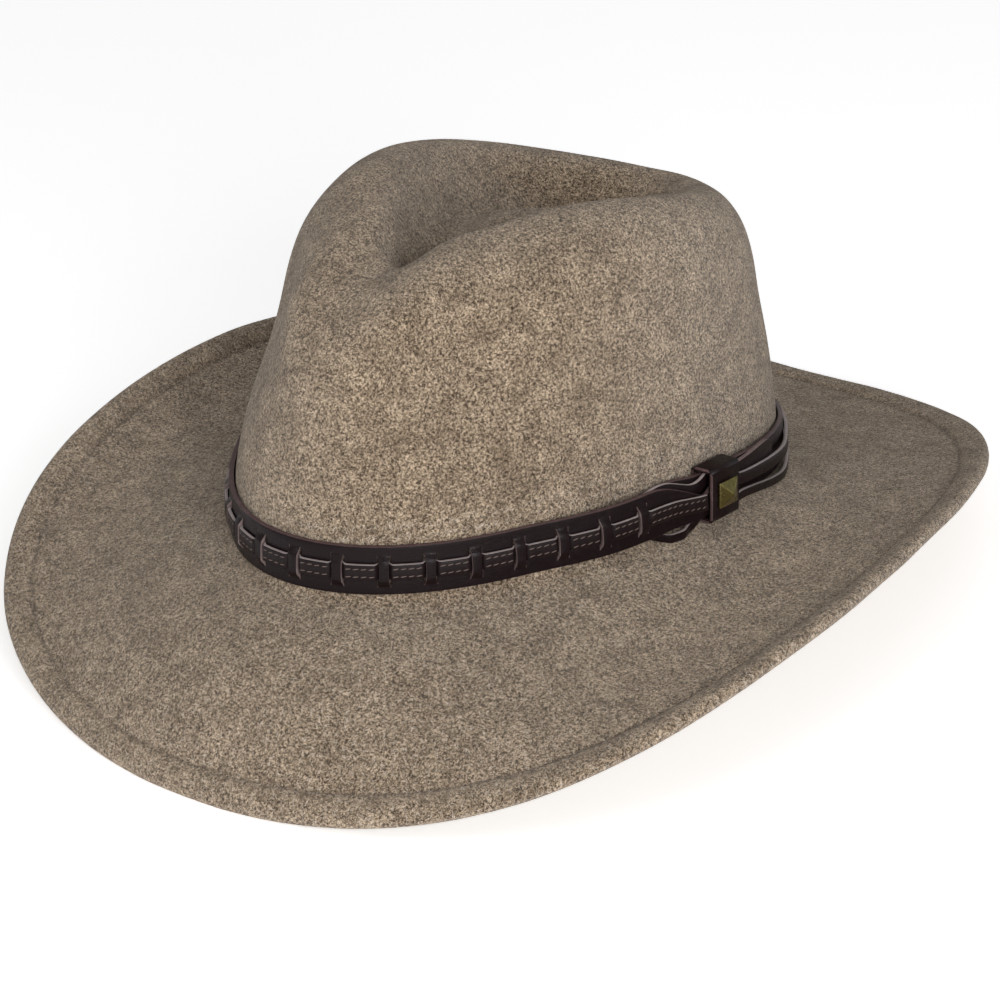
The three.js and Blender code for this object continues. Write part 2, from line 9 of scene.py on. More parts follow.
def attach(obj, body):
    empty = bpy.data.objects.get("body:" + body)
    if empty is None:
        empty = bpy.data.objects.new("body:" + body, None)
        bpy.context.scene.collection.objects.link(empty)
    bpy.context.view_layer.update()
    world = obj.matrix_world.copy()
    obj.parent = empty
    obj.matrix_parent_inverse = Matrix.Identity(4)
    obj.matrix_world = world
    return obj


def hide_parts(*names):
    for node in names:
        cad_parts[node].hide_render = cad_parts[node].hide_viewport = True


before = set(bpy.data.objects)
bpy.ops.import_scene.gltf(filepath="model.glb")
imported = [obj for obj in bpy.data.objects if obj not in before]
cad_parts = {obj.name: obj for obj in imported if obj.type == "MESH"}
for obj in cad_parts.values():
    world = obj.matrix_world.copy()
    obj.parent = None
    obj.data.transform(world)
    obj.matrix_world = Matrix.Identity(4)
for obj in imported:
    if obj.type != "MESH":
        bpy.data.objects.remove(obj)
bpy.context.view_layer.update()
mm = 0.001


# the hat's form: lengths in millimetres, angles from the front over the wearer's left to the back
hat = {
    "crownLength": 218.0, "crownWidth": 155.0, "crownHeight": 100.0, "breakHeight": 42.4,
    "brimWidth": 76.0, "feltWall": 2.5, "creaseDepth": 24.0, "rootRadius": 3.0, "restFlat": 1.2,
    "eggShare": 0.133, "slopePower": 1.31, "brimSteps": 48, "walkSteps": 12,
    # the crease's bottom line: its ends as shares of half the length, its drop as one of the depth
    "spineFront": -0.1, "spineBack": 0.46, "spineDrop": 0.7,
    # the dents beside the crown's front: depth, then angle and share of the height with spreads
    "pinchDepth": 7.0, "pinchAngle": (41, 20), "pinchRise": (0.73, 0.22),
    # values at even angles from the front to the back
    "width": (1.0, 1.087, 0.967, 0.959, 1.02),
    "rise": (1.0, 0.982, 0.957, 0.648, 0.388),
    "rootSlope": (-10.3, -17.9, -17.6, -9.8, -10.5),
    "edgeSlope": (-68.0, -12.9, 26.4, 12.6, -12.6),
    "ridge": (0.867, 0.93, 0.974, 0.998, 1.007, 1.002, 0.999, 0.996, 0.99),
    "reach": (0.498, 0.48, 0.452, 0.473, 0.55, 0.642, 0.718, 0.783, 0.823),
    "crease": (0.72, 0.9, 1.0, 1.0, 1.0, 0.97, 0.85, 0.66, 0.52),
    # up the crown's side: share of the height and way inwards to the ridge
    "side": ((0.03, 0.001), (0.07, 0.004), (0.2, 0.027), (0.4, 0.12), (0.6, 0.234),
             (0.75, 0.319), (0.87, 0.463), (0.95, 0.66), (0.99, 0.85)),
    # from the ridge into the crease: way inwards and share of its depth
    "top": ((0.1, 0.045), (0.22, 0.28), (0.34, 0.66), (0.48, 0.95), (0.62, 0.96), (0.8, 0.78)),
}


def evenCurve(values):
    # smooth through values at even angles from 0 to 180 degrees, the same on both sides
    last = len(values) - 1
    weights = []
    for k in range(last + 1):
        total = sum((0.5 if j in (0, last) else 1) * v * math.cos(math.pi * j * k / last)
                    for j, v in enumerate(values))
        weights.append((1 if k in (0, last) else 2) * total / last)
    return lambda angle: sum(w * math.cos(k * angle) for k, w in enumerate(weights))


hatCurve = {name: evenCurve(hat[name])
            for name in ("width", "rise", "rootSlope", "edgeSlope", "ridge", "reach", "crease")}


def ease(value, start, end):
    share = min(max((value - start) / (end - start), 0.0), 1.0)
    return share * share * (3 - 2 * share)


def mix(a, b, share):
    return a + (b - a) * share


def bell(value, middle, spread):
    return math.exp(-((value - middle) / spread) ** 2)


def ovalPoint(angle):
    # a point of the oval where crown and brim meet
    x = hat["crownWidth"] / 2 * math.sin(angle) * (1 - hat["eggShare"] * math.cos(angle))
    y = -hat["crownLength"] / 2 * math.cos(angle)
    return Vector((x, y, hat["breakHeight"] * hatCurve["rise"](angle) - hat["restFlat"]))


def ovalSpeed(angle):
    # how fast the oval's point moves with the angle, across and along the hat
    along = hat["crownWidth"] / 2 * (math.cos(angle) - hat["eggShare"] * math.cos(2 * angle))
    return along, hat["crownLength"] / 2 * math.sin(angle)


def outward(angle):
    along, across = ovalSpeed(angle)
    return Vector((across, -along, 0)).normalized()


def walk(angle, distance):
    # the angle that lies a distance along the band from another
    for _ in range(hat["walkSteps"]):
        angle += distance / hat["walkSteps"] / math.hypot(*ovalSpeed(angle))
    return angle


def brimCurve(angle, insets):
    # points of the brim's upper face at distances in from its edge, nearest the crown first
    width = hat["brimWidth"] * hatCurve["width"](angle)
    root, edge = hatCurve["rootSlope"](angle), hatCurve["edgeSlope"](angle)
    foot, out = ovalPoint(angle), outward(angle)
    points, reach, rise, done = [], 0.0, 0.0, 0.0
    for inset in insets:
        goal = 1 - inset / width
        steps = max(int((goal - done) * hat["brimSteps"]), 1)
        for i in range(steps):
            way = done + (goal - done) * (i + 0.5) / steps
            slope = math.radians(root + (edge - root) * max(way, 0) ** hat["slopePower"])
            reach += math.cos(slope) * width * (goal - done) / steps
            rise += math.sin(slope) * width * (goal - done) / steps
        done = goal
        points.append(foot + out * reach + Vector((0, 0, rise)))
    return points


def sidePoint(angle, up, inward):
    # a point on the crown's side, at a share of its height
    foot = ovalPoint(angle)
    reach = 1 - (1 - hatCurve["reach"](angle)) * inward
    degrees = abs((math.degrees(angle) + 180) % 360 - 180)
    pinch = hat["pinchDepth"] * bell(degrees, *hat["pinchAngle"]) * bell(up, *hat["pinchRise"])
    rise = up * hat["crownHeight"] * hatCurve["ridge"](angle)
    return Vector((foot.x * reach, foot.y * reach, foot.z + rise)) - outward(angle) * pinch


def topPoint(angle, inward, drop):
    # a point in the crease, between the ridge and the bottom line
    ridge = sidePoint(angle, 1, 1)
    middle = (hat["spineFront"] + hat["spineBack"]) / 2
    half = (hat["spineBack"] - hat["spineFront"]) / 2
    spine = hat["crownLength"] / 2 * (middle - half * math.cos(angle))
    depth = hat["creaseDepth"] * hatCurve["crease"](angle) * drop
    return Vector((ridge.x * (1 - inward), mix(ridge.y, spine, inward), ridge.z - depth))


def smoothCurve(points, perSpan):
    # a centripetal curve through points, with perSpan steps between each two
    ends = [points[0] * 2 - points[1]] + points + [points[-1] * 2 - points[-2]]
    rows = []
    for i in range(1, len(points)):
        p = ends[i - 1:i + 3]
        t = [max((p[k + 1] - p[k]).length ** 0.5, 1e-4) for k in range(3)]
        m1 = ((p[1] - p[0]) / t[0] - (p[2] - p[0]) / (t[0] + t[1]) + (p[2] - p[1]) / t[1]) * t[1]
        m2 = ((p[2] - p[1]) / t[1] - (p[3] - p[1]) / (t[1] + t[2]) + (p[3] - p[2]) / t[2]) * t[1]
        for k in range(perSpan):
            s = k / perSpan
            rows.append(p[1] * (2 * s ** 3 - 3 * s * s + 1) + m1 * (s ** 3 - 2 * s * s + s)
                        + p[2] * (3 * s * s - 2 * s ** 3) + m2 * (s ** 3 - s * s))
    return rows + [points[-1].copy()]


# the CAD frame has its origin under the middle of the brim
frontEdge = brimCurve(0, (0,))[0].y
backEdge = brimCurve(math.pi, (0,))[0].y
shift = Vector((0, -(frontEdge + backEdge) / 2, 0))
sharpTurn = 1.0  # radians between two faces, past which their edge is rounded


def newPiece(name, bm, materials, smooth=True):
    mesh = bpy.data.meshes.new(name)
    bm.to_mesh(mesh)
    bm.free()
    piece = bpy.data.objects.new(name, mesh)
    bpy.context.scene.collection.objects.link(piece)
    for material in materials:
        mesh.materials.append(material)
    mesh.polygons.foreach_set("use_smooth", [smooth] * len(mesh.polygons))
    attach(piece, "root")
    return piece


def gridShape(bm, columns, rows, place, layers):
    # a grid whose points are put where place(column, row) says, with values for named layers
    made = bmesh.ops.create_grid(bm, x_segments=columns - 1, y_segments=rows - 1, size=1.0)
    for vert in made["verts"]:
        column = round((vert.co.x + 1) / 2 * (columns - 1))
        row = round((vert.co.y + 1) / 2 * (rows - 1))
        for layer, value in layers.items():
            vert[layer] = value(column, row)
        vert.co = (place(column, row) + shift) * mm


# shader node helpers
def makeMaterial(name):
    material = bpy.data.materials.new(name)
    material.use_nodes = True
    shader = material.node_tree.nodes["Principled BSDF"]
    return material, material.node_tree, shader


def addNode(tree, kind, values=None, **settings):
    node = tree.nodes.new(kind)
    for key, value in settings.items():
        setattr(node, key, value)
    for key, value in (values or {}).items():
        node.inputs[key].default_value = value
    return node


def makeGroup(name, inputs, outputs):
    group = bpy.data.node_groups.new(name, "ShaderNodeTree")
    for label, kind, value in inputs:
        socket = group.interface.new_socket(label, in_out="INPUT", socket_type=kind)
        socket.default_value = value
    for label, kind in outputs:
        group.interface.new_socket(label, in_out="OUTPUT", socket_type=kind)
    return group, group.nodes.new("NodeGroupInput"), group.nodes.new("NodeGroupOutput")


def placeGroup(tree, group, values):
    node = tree.nodes.new("ShaderNodeGroup")
    node.node_tree = group
    for key, value in values.items():
        node.inputs[key].default_value = value
    return node


def feed(tree, socket, value):
    # a value is another socket or plain
    if isinstance(value, bpy.types.NodeSocket):
        tree.links.new(value, socket)
    else:
        socket.default_value = value


def blendColors(tree, fac, a, b):
    node = addNode(tree, "ShaderNodeMix", data_type="RGBA", blend_type="MIX")
    for index, value in ((0, fac), (6, a), (7, b)):
        feed(tree, node.inputs[index], value)
    return node.outputs[2]


def mathNode(tree, operation, a, b=0.0, clamp=False):
    node = addNode(tree, "ShaderNodeMath", operation=operation, use_clamp=clamp)
    for socket, value in zip(node.inputs, (a, b)):
        feed(tree, socket, value)
    return node.outputs[0]


def plusShare(tree, base, value, share):
    # base + value * share
    return mathNode(tree, "ADD", base, mathNode(tree, "MULTIPLY", value, share))


def scaleVector(tree, vector, factor):
    node = addNode(tree, "ShaderNodeVectorMath", operation="SCALE")
    tree.links.new(vector, node.inputs[0])
    tree.links.new(factor, node.inputs["Scale"])
    return node.outputs[0]


def objectPlace(tree):
    return addNode(tree, "ShaderNodeTexCoord").outputs["Object"]


def rangeNode(tree, value, low, high, toLow=0.0, toHigh=1.0):
    node = addNode(tree, "ShaderNodeMapRange",
                   {"From Min": low, "From Max": high, "To Min": toLow, "To Max": toHigh})
    tree.links.new(value, node.inputs["Value"])
    return node.outputs["Result"]


def noiseNode(tree, vector, scale, detail=3.0, roughness=0.5, distortion=0.0):
    node = addNode(tree, "ShaderNodeTexNoise", {"Scale": scale, "Detail": detail,
                                                "Roughness": roughness, "Distortion": distortion})
    tree.links.new(vector, node.inputs["Vector"])
    return node.outputs["Fac"]


def srgb(r, g, b):
    def linear(c):
        c /= 255
        return c / 12.92 if c <= 0.04045 else ((c + 0.055) / 1.055) ** 2.4
    return (linear(r), linear(g), linear(b), 1.0)


# heathered wool: noises as scale, detail, roughness and distortion, bands as low and high
heatherLook = {
    "blotch": (105, 6, 0.72), "fleck": (1250, 3, 0.66, 0.5), "fibre": (2700, 2, 0.7, 1.4),
    "bend": (260, 2, 0.5), "noiseBand": (0.34, 0.66), "fibreBand": (0.4, 0.6),
    "strandScale": 820.0, "strandBand": (0.1, 0.75), "strandBend": (0.75, 0.02),
    # how far each layer lightens or darkens the wool: base and gain
    "lightByBlotch": (0.55, 0.6), "lightGain": 1.7, "darkReach": 1.1, "darkByStrand": (0.5, 0.7),
    "darkGain": 1.5, "toneByBlotch": (0.83, 0.3), "fleckHeight": 0.6, "fibreHeight": 0.4,
}


def makeHeather():
    # blotches, flecks and fine fibres from light, middle and dark wool
    group, given, out = makeGroup(
        "woolHeather",
        [("Light Wool", "NodeSocketColor", (0.5, 0.4, 0.3, 1)),
         ("Middle Wool", "NodeSocketColor", (0.3, 0.2, 0.1, 1)),
         ("Dark Wool", "NodeSocketColor", (0.1, 0.1, 0.1, 1)),
         ("Fleck Size", "NodeSocketFloat", 1.0)],
        [("Color", "NodeSocketColor"), ("Height", "NodeSocketFloat")])
    look = heatherLook
    size = mathNode(group, "DIVIDE", 1.0, given.outputs["Fleck Size"])
    place = scaleVector(group, objectPlace(group), size)
    blotch = rangeNode(group, noiseNode(group, place, *look["blotch"]), *look["noiseBand"])
    fleck = rangeNode(group, noiseNode(group, place, *look["fleck"]), *look["noiseBand"])
    fibre = rangeNode(group, noiseNode(group, place, *look["fibre"]), *look["fibreBand"])
    strand = addNode(group, "ShaderNodeTexVoronoi",
                     {"Scale": look["strandScale"], "Randomness": 1.0}, feature="F1")
    base, gain = look["strandBend"]
    bend = plusShare(group, base, noiseNode(group, place, *look["bend"]), gain)
    group.links.new(scaleVector(group, place, bend), strand.inputs["Vector"])
    strandMask = rangeNode(group, strand.outputs["Distance"], *look["strandBand"])
    light = mathNode(group, "MULTIPLY", fleck, fibre)
    base, gain = look["lightByBlotch"]
    light = mathNode(group, "MULTIPLY", light, plusShare(group, base, blotch, gain))
    dark = mathNode(group, "MULTIPLY", mathNode(group, "SUBTRACT", 1.0, fleck),
                    mathNode(group, "SUBTRACT", look["darkReach"], fibre))
    base, gain = look["darkByStrand"]
    dark = mathNode(group, "MULTIPLY", dark, plusShare(group, base, strandMask, gain))
    color = blendColors(group, mathNode(group, "MULTIPLY", light, look["lightGain"], True),
                        given.outputs["Middle Wool"], given.outputs["Light Wool"])
    color = blendColors(group, mathNode(group, "MULTIPLY", dark, look["darkGain"], True),
                        color, given.outputs["Dark Wool"])
    base, gain = look["toneByBlotch"]
    toned = scaleVector(group, color, plusShare(group, base, blotch, gain))
    group.links.new(toned, out.inputs["Color"])
    height = mathNode(group, "MULTIPLY", fleck, look["fleckHeight"])
    height = plusShare(group, height, fibre, look["fibreHeight"])
    group.links.new(height, out.inputs["Height"])
    return group


# leather: noises and bands as for the wool
hideLook = {
    "pebbleBand": (0.0, 0.25), "slow": (90, 4, 0.6), "slowBand": (0.35, 0.7), "slowHeight": 0.5,
    "scuff": (420, 5, 0.7, 0.8), "scuffBand": (0.5, 0.75), "rough": (0.34, 0.22),
    "specular": 0.16, "bump": 0.18, "bumpDepth": 0.0003,
}


def makeHide():
    # fine grain, slow changes of tone, rubbed streaks
    group, given, out = makeGroup(
        "hideGrain",
        [("Deep", "NodeSocketColor", (0.02, 0.01, 0.01, 1)),
         ("Worn", "NodeSocketColor", (0.1, 0.08, 0.07, 1)),
         ("Grain Scale", "NodeSocketFloat", 900.0), ("Wear", "NodeSocketFloat", 0.5)],
        [("Color", "NodeSocketColor"), ("Height", "NodeSocketFloat"), ("Rough", "NodeSocketFloat")])
    links, look = group.links, hideLook
    place = objectPlace(group)
    grain = addNode(group, "ShaderNodeTexVoronoi", {"Randomness": 1.0}, feature="DISTANCE_TO_EDGE")
    links.new(place, grain.inputs["Vector"])
    links.new(given.outputs["Grain Scale"], grain.inputs["Scale"])
    pebble = rangeNode(group, grain.outputs["Distance"], *look["pebbleBand"])
    slow = rangeNode(group, noiseNode(group, place, *look["slow"]), *look["slowBand"])
    scuff = rangeNode(group, noiseNode(group, place, *look["scuff"]), *look["scuffBand"])
    wear = mathNode(group, "MULTIPLY", slow, scuff)
    wear = mathNode(group, "MULTIPLY", wear, given.outputs["Wear"], True)
    color = blendColors(group, wear, given.outputs["Deep"], given.outputs["Worn"])
    links.new(color, out.inputs["Color"])
    links.new(plusShare(group, pebble, slow, look["slowHeight"]), out.inputs["Height"])
    base, gain = look["rough"]
    links.new(plusShare(group, base, scuff, gain), out.inputs["Rough"])
    return group


heather = makeHeather()
hide = makeHide()


def addBump(tree, shader, height, strength, distance):
    bump = addNode(tree, "ShaderNodeBump", {"Strength": strength, "Distance": distance})
    tree.links.new(height, bump.inputs["Height"])
    tree.links.new(bump.outputs[0], shader.inputs["Normal"])


feltLook = {
    "light": srgb(223, 201, 174), "middle": srgb(138, 116, 91), "dark": srgb(50, 36, 24),
    "roughness": 0.95, "specular": 0.15, "sheen": 0.25, "sheenRoughness": 0.5,
    "bump": 0.6, "bumpDepth": 0.0007,
    # painted shade in the stitching groove and a painted highlight on the crest of the turned edge:
    # inset from the rim, near, far, share, colour
    "rows": ((10.1, 0.1, 1.1, 0.34, srgb(74, 60, 50)), (7.8, 0.2, 2.2, 0.12, srgb(168, 149, 124))),
}


def feltMaterial():
    material, tree, shader = makeMaterial("mottledFelt")
    wool = placeGroup(tree, heather, {
        "Light Wool": feltLook["light"], "Middle Wool": feltLook["middle"],
        "Dark Wool": feltLook["dark"], "Fleck Size": 1.0})
    inset = addNode(tree, "ShaderNodeAttribute", attribute_name="rimInset").outputs["Fac"]
    color = wool.outputs["Color"]
    # painted shade along the groove and a painted highlight along the crest, laid over the wool by
    # inset from the rim
    for middle, near, far, share, paintedLightTone in feltLook["rows"]:
        away = mathNode(tree, "ABSOLUTE", mathNode(tree, "SUBTRACT", inset, middle))
        color = blendColors(tree, rangeNode(tree, away, near, far, share, 0.0), color, paintedLightTone)
    tree.links.new(color, shader.inputs["Base Color"])
    shader.inputs["Roughness"].default_value = feltLook["roughness"]
    shader.inputs["Specular IOR Level"].default_value = feltLook["specular"]
    shader.inputs["Sheen Weight"].default_value = feltLook["sheen"]
    shader.inputs["Sheen Roughness"].default_value = feltLook["sheenRoughness"]
    addBump(tree, shader, wool.outputs["Height"], feltLook["bump"], feltLook["bumpDepth"])
    return material


def hideMaterial(name, deep, worn, wear, rough=None, grain=900.0):
    material, tree, shader = makeMaterial(name)
    skin = placeGroup(tree, hide,
                      {"Deep": deep, "Worn": worn, "Wear": wear, "Grain Scale": grain})
    tree.links.new(skin.outputs["Color"], shader.inputs["Base Color"])
    if rough is None:
        tree.links.new(skin.outputs["Rough"], shader.inputs["Roughness"])
    else:
        shader.inputs["Roughness"].default_value = rough
    shader.inputs["Specular IOR Level"].default_value = hideLook["specular"]
    addBump(tree, shader, skin.outputs["Height"], hideLook["bump"], hideLook["bumpDepth"])
    return material


brassLook = {"bright": srgb(158, 148, 96), "aged": srgb(104, 96, 58), "patina": (420, 3, 0.55),
             "patinaBand": (0.35, 0.75), "roughness": (0.22, 0.36), "bump": 0.08,
             "bumpDepth": 0.0002}


def brassMaterial():
    material, tree, shader = makeMaterial("antiqueBrass")
    patina = noiseNode(tree, objectPlace(tree), *brassLook["patina"])
    patina = rangeNode(tree, patina, *brassLook["patinaBand"])
    color = blendColors(tree, patina, brassLook["bright"], brassLook["aged"])
    tree.links.new(color, shader.inputs["Base Color"])
    shader.inputs["Metallic"].default_value = 1.0
    rough = rangeNode(tree, patina, 0.0, 1.0, *brassLook["roughness"])
    tree.links.new(rough, shader.inputs["Roughness"])
    addBump(tree, shader, patina, brassLook["bump"], brassLook["bumpDepth"])
    return material


threadLook = {"dark": srgb(74, 60, 56), "light": srgb(128, 110, 102), "twist": 900.0,
              "distortion": 1.5, "roughness": 0.6, "bump": 0.3, "bumpDepth": 0.0002}


def threadMaterial():
    material, tree, shader = makeMaterial("waxedThread")
    twist = addNode(tree, "ShaderNodeTexWave",
                    {"Scale": threadLook["twist"], "Distortion": threadLook["distortion"]},
                    bands_direction="DIAGONAL")
    tree.links.new(objectPlace(tree), twist.inputs["Vector"])
    color = blendColors(tree, twist.outputs["Fac"], threadLook["dark"], threadLook["light"])
    tree.links.new(color, shader.inputs["Base Color"])
    shader.inputs["Roughness"].default_value = threadLook["roughness"]
    addBump(tree, shader, twist.outputs["Fac"], threadLook["bump"], threadLook["bumpDepth"])
    return material


woolLook = {"dark": srgb(42, 31, 22), "light": srgb(238, 222, 203), "roughness": 0.8,
            "specular": 0.2}


def fibreMaterial():
    # loose wool, light or dark by strand
    material, tree, shader = makeMaterial("looseWool")
    tone = addNode(tree, "ShaderNodeAttribute", attribute_name="tone").outputs["Fac"]
    color = blendColors(tree, tone, woolLook["dark"], woolLook["light"])
    tree.links.new(color, shader.inputs["Base Color"])
    shader.inputs["Roughness"].default_value = woolLook["roughness"]
    shader.inputs["Specular IOR Level"].default_value = woolLook["specular"]
    return material


felt = feltMaterial()
looseWool = fibreMaterial()
strapHide = hideMaterial("strapHide", srgb(24, 14, 16), srgb(50, 35, 36), 0.5)
laceHide = hideMaterial("laceHide", srgb(29, 20, 21), srgb(58, 44, 43), 0.5, grain=1100.0)
keeperHide = hideMaterial("keeperHide", srgb(27, 17, 18), srgb(54, 39, 38), 0.6)
# the cut hide's colour, also used as a painted highlight on the strap's lower edge
cutEdgeAndHighlight = hideMaterial("cutHideEdgeAndHighlight", srgb(120, 104, 102), srgb(176, 164, 160), 0.9,
                       rough=0.6, grain=1500.0)
laceEdge = hideMaterial("laceCutEdge", srgb(158, 146, 144), srgb(208, 200, 196), 0.9,
                        rough=0.55, grain=1500.0)
# the dressed edge's colour, also used as a painted highlight on the strap's rounded edges
dressedEdgeAndHighlight = hideMaterial("dressedHideEdgeAndHighlight", srgb(88, 69, 69), srgb(140, 121, 119), 0.8,
                           rough=0.45, grain=1200.0)
brass = brassMaterial()
thread = threadMaterial()
print("materials made")


feltShape = {
    "columns": 288, "perSpan": 5, "perRoot": 3, "brimRows": 26, "foldFrom": 12.6,
    # the root's turn beside the oval, as shares of its radius: start, out and up
    "rootTurn": (1.5, 0.3, 0.35),
    # insets from the rim and lifts off the single felt: over the turned edge, then under it
    "foldOver": ((12.0, 0.0), (11.2, 0.0), (10.6, -0.1), (10.2, -0.14), (9.9, 0.0), (9.6, 0.3),
                 (9.2, 0.7), (8.5, 1.15), (7.6, 1.55), (6.3, 1.9), (4.6, 2.15), (3.0, 2.2),
                 (1.9, 2.1), (1.1, 1.8), (0.55, 1.5), (0.2, 0.95), (0.03, 0.35)),
    "foldUnder": ((0.03, -0.35), (0.2, -0.95), (0.55, -1.5), (1.1, -1.95), (1.9, -2.3),
                  (3.0, -2.45), (5.0, -2.5), (8.0, -2.5), (9.7, -2.45), (10.2, -2.2),
                  (10.7, -2.45), (12.0, -2.5)),
    # marks in the rimInset attribute: the crown's lowest row, the step up it, the inside
    "crownMark": 60.0, "markStep": 2, "insideMark": 99.0,
    # unevenness left by hand: heights and scales, then where it fades in, which is over rows
    # from the crease's bottom line, above the band and outwards on the brim
    "handWave": 0.5, "handScale": 0.02, "fineWave": 0.35, "fineScale": 2.3,
    "waveRows": 12, "waveRise": (21, 40), "waveOut": (5, 30),
    # slow sway of the brim: height, scale, place in the noise, and how far out it fades in
    "edgeWave": 0.9, "edgeScale": 0.012, "edgePlace": (7, 3, 1), "edgeReach": (90, 170),
    "lengthShare": 0.75,
}


def feltSection(angle):
    # rows from the spine over the ridge and down to the rim, and how far in from it each lies
    shape = feltShape
    points = [topPoint(angle, 1, hat["spineDrop"])]
    points[0].x = 0
    points += [topPoint(angle, inward, drop) for inward, drop in reversed(hat["top"])]
    points.append(sidePoint(angle, 1, 1))
    points += [sidePoint(angle, up, inward) for up, inward in reversed(hat["side"])]
    rows = smoothCurve(points, shape["perSpan"])
    width = hat["brimWidth"] * hatCurve["width"](angle)
    radius, count, perRoot = hat["rootRadius"], shape["brimRows"], shape["perRoot"]
    start, outShare, upShare = shape["rootTurn"]
    inner, outer = start * radius, width - shape["foldFrom"]
    insets = [width - inner - (outer - inner) * i / count for i in range(count + 1)]
    insets += [inset for inset, _ in shape["foldOver"]]
    brim = brimCurve(angle, insets)
    turn = ovalPoint(angle) + outward(angle) * outShare * radius + Vector((0, 0, upShare * radius))
    root = smoothCurve([rows[-2], rows[-1], turn, brim[0], brim[1]], perRoot)
    rows += root[perRoot + 1:3 * perRoot]
    marks = [shape["crownMark"] + shape["markStep"] * (len(rows) - i) for i in range(len(rows))]
    return rows + brim, marks + insets


def handMade(point, normal, row, foot, out):
    # a point of the felt, moved as a hat shaped by hand is
    shape = feltShape
    place = point * shape["handScale"]
    wave = shape["handWave"] * noise.noise(place)
    wave += shape["fineWave"] * noise.noise(place * shape["fineScale"])
    away = ease(math.hypot(point.x, point.y * shape["lengthShare"]), *shape["edgeReach"])
    flat = Vector((point.x, point.y, 0)) * shape["edgeScale"] + Vector(shape["edgePlace"])
    sway = shape["edgeWave"] * away * noise.noise(flat)
    # the band's seat stays true
    clear = ease(point.z - foot.z, *shape["waveRise"])
    clear += ease((point - foot).dot(out), *shape["waveOut"])
    share = min(row / shape["waveRows"], 1)
    return point + normal * wave * share * min(clear, 1) + Vector((0, 0, sway))


def buildFelt():
    columns, wall = feltShape["columns"], hat["feltWall"]
    over, under = feltShape["foldOver"], feltShape["foldUnder"]
    angles = [j * 2 * math.pi / columns for j in range(columns)]
    sections = [feltSection(angle) for angle in angles]
    insets = sections[-1][1]
    foldStart = len(insets) - len(over)
    lifts = [0.0] * foldStart + [lift for _, lift in over]
    # for each row under the edge, the row over it that it hangs from
    nearest = [foldStart + min(range(len(over)), key=lambda n: abs(over[n][0] - inset))
               for inset, _ in under]
    rings = []
    for j, angle in enumerate(angles):
        before, ring, after = (sections[(j + k) % columns][0] for k in (-1, 0, 1))
        foot, out = ovalPoint(angle), outward(angle)
        middle = []
        for i, point in enumerate(ring):
            normal = Vector((0, 0, 1))
            if i > 0:
                across = ring[min(i + 1, len(ring) - 1)] - ring[i - 1]
                normal = across.cross(after[i] - before[i]).normalized()
            middle.append((handMade(point, normal, i, foot, out), normal))
        rows = [moved + normal * lift for (moved, normal), lift in zip(middle, lifts)]
        rows += [middle[k][0] + middle[k][1] * lift for k, (_, lift) in zip(nearest, under)]
        rows += [moved + normal * -wall for moved, normal in reversed(middle[:foldStart])]
        for point in rows:
            point.z = max(point.z, 0.0)
        rings.append(rows)
    marks = insets + [inset for inset, _ in under] + [feltShape["insideMark"]] * foldStart
    bm = bmesh.new()
    inset = bm.verts.layers.float.new("rimInset")
    gridShape(bm, columns + 1, len(marks), lambda column, row: rings[column % columns][row],
              {inset: lambda column, row: marks[row]})
    bmesh.ops.remove_doubles(bm, verts=bm.verts, dist=1e-6)
    bmesh.ops.recalc_face_normals(bm, faces=bm.faces)
    piece = newPiece("feltHat", bm, [felt])
    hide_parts("felt_body")
    return piece


feltHat = buildFelt()
print("felt hat", len(feltHat.data.polygons))

# short loose fibres, in millimetres; they lie where rimInset is under a limit, which is the
# brim's outer face and the lowest part of the crown
fibre = {"count": 48000, "seed": 7, "length": (0.9, 2.6), "width": (0.08, 0.15), "tip": 0.35,
         "lift": 0.09, "liftShare": (0.4, 1), "foot": 0.03, "bend": 0.45, "insetLimit": 98,
         "cornerShare": 0.05, "lightShare": 0.62, "lightTone": (0.7, 1.0), "darkTone": (0.0, 0.3)}


def buildFibres():
    rng = random.Random(fibre["seed"])
    mesh = feltHat.data
    inset = mesh.attributes["rimInset"].data
    faces = [face for face in mesh.polygons
             if max(inset[v].value for v in face.vertices) < fibre["insetLimit"]]
    picked = rng.choices(faces, weights=[face.area for face in faces], k=fibre["count"])
    strands = []
    for face in picked:
        corners = [mesh.vertices[v].co for v in face.vertices]
        shares = [rng.random() + fibre["cornerShare"] for _ in corners]
        root = sum((c * w for c, w in zip(corners, shares)), Vector()) / sum(shares)
        normal = face.normal.copy()
        anyWay = Vector((rng.gauss(0, 1), rng.gauss(0, 1), rng.gauss(0, 1)))
        along = normal.cross(anyWay).normalized()
        side = normal.cross(along)
        length = rng.uniform(*fibre["length"]) * mm
        bend = side * rng.uniform(-1, 1) * fibre["bend"] * mm
        lift = normal * rng.uniform(*fibre["liftShare"]) * fibre["lift"] * mm
        half = side * rng.uniform(*fibre["width"]) * mm / 2
        foot = normal * fibre["foot"] * mm
        points = (root - along * length / 2 + foot, root + bend + lift,
                  root + along * length / 2 + foot)
        light = rng.random() < fibre["lightShare"]
        strands.append((points, half, rng.uniform(*fibre["lightTone" if light else "darkTone"])))
    # one long grid, two columns a strand, cut between the strands
    bm = bmesh.new()
    tone = bm.verts.layers.float.new("tone")
    spans = 2 * fibre["count"] - 1
    made = bmesh.ops.create_grid(bm, x_segments=spans, y_segments=2, size=1.0)
    for vert in made["verts"]:
        column = round((vert.co.x + 1) / 2 * spans)
        points, half, light = strands[column // 2]
        row = round(vert.co.y + 1)
        width = half * (1.0 if row == 1 else fibre["tip"])
        vert.co = points[row] + (width if column % 2 else -width)
        vert[tone] = light
        vert.index = column
    gaps = [f for f in bm.faces if len({v.index // 2 for v in f.verts}) > 1]
    bmesh.ops.delete(bm, geom=gaps, context="FACES")
    piece = newPiece("feltFibres", bm, [looseWool])
    return piece


feltFibres = buildFibres()
print("fibres", len(feltFibres.data.polygons))


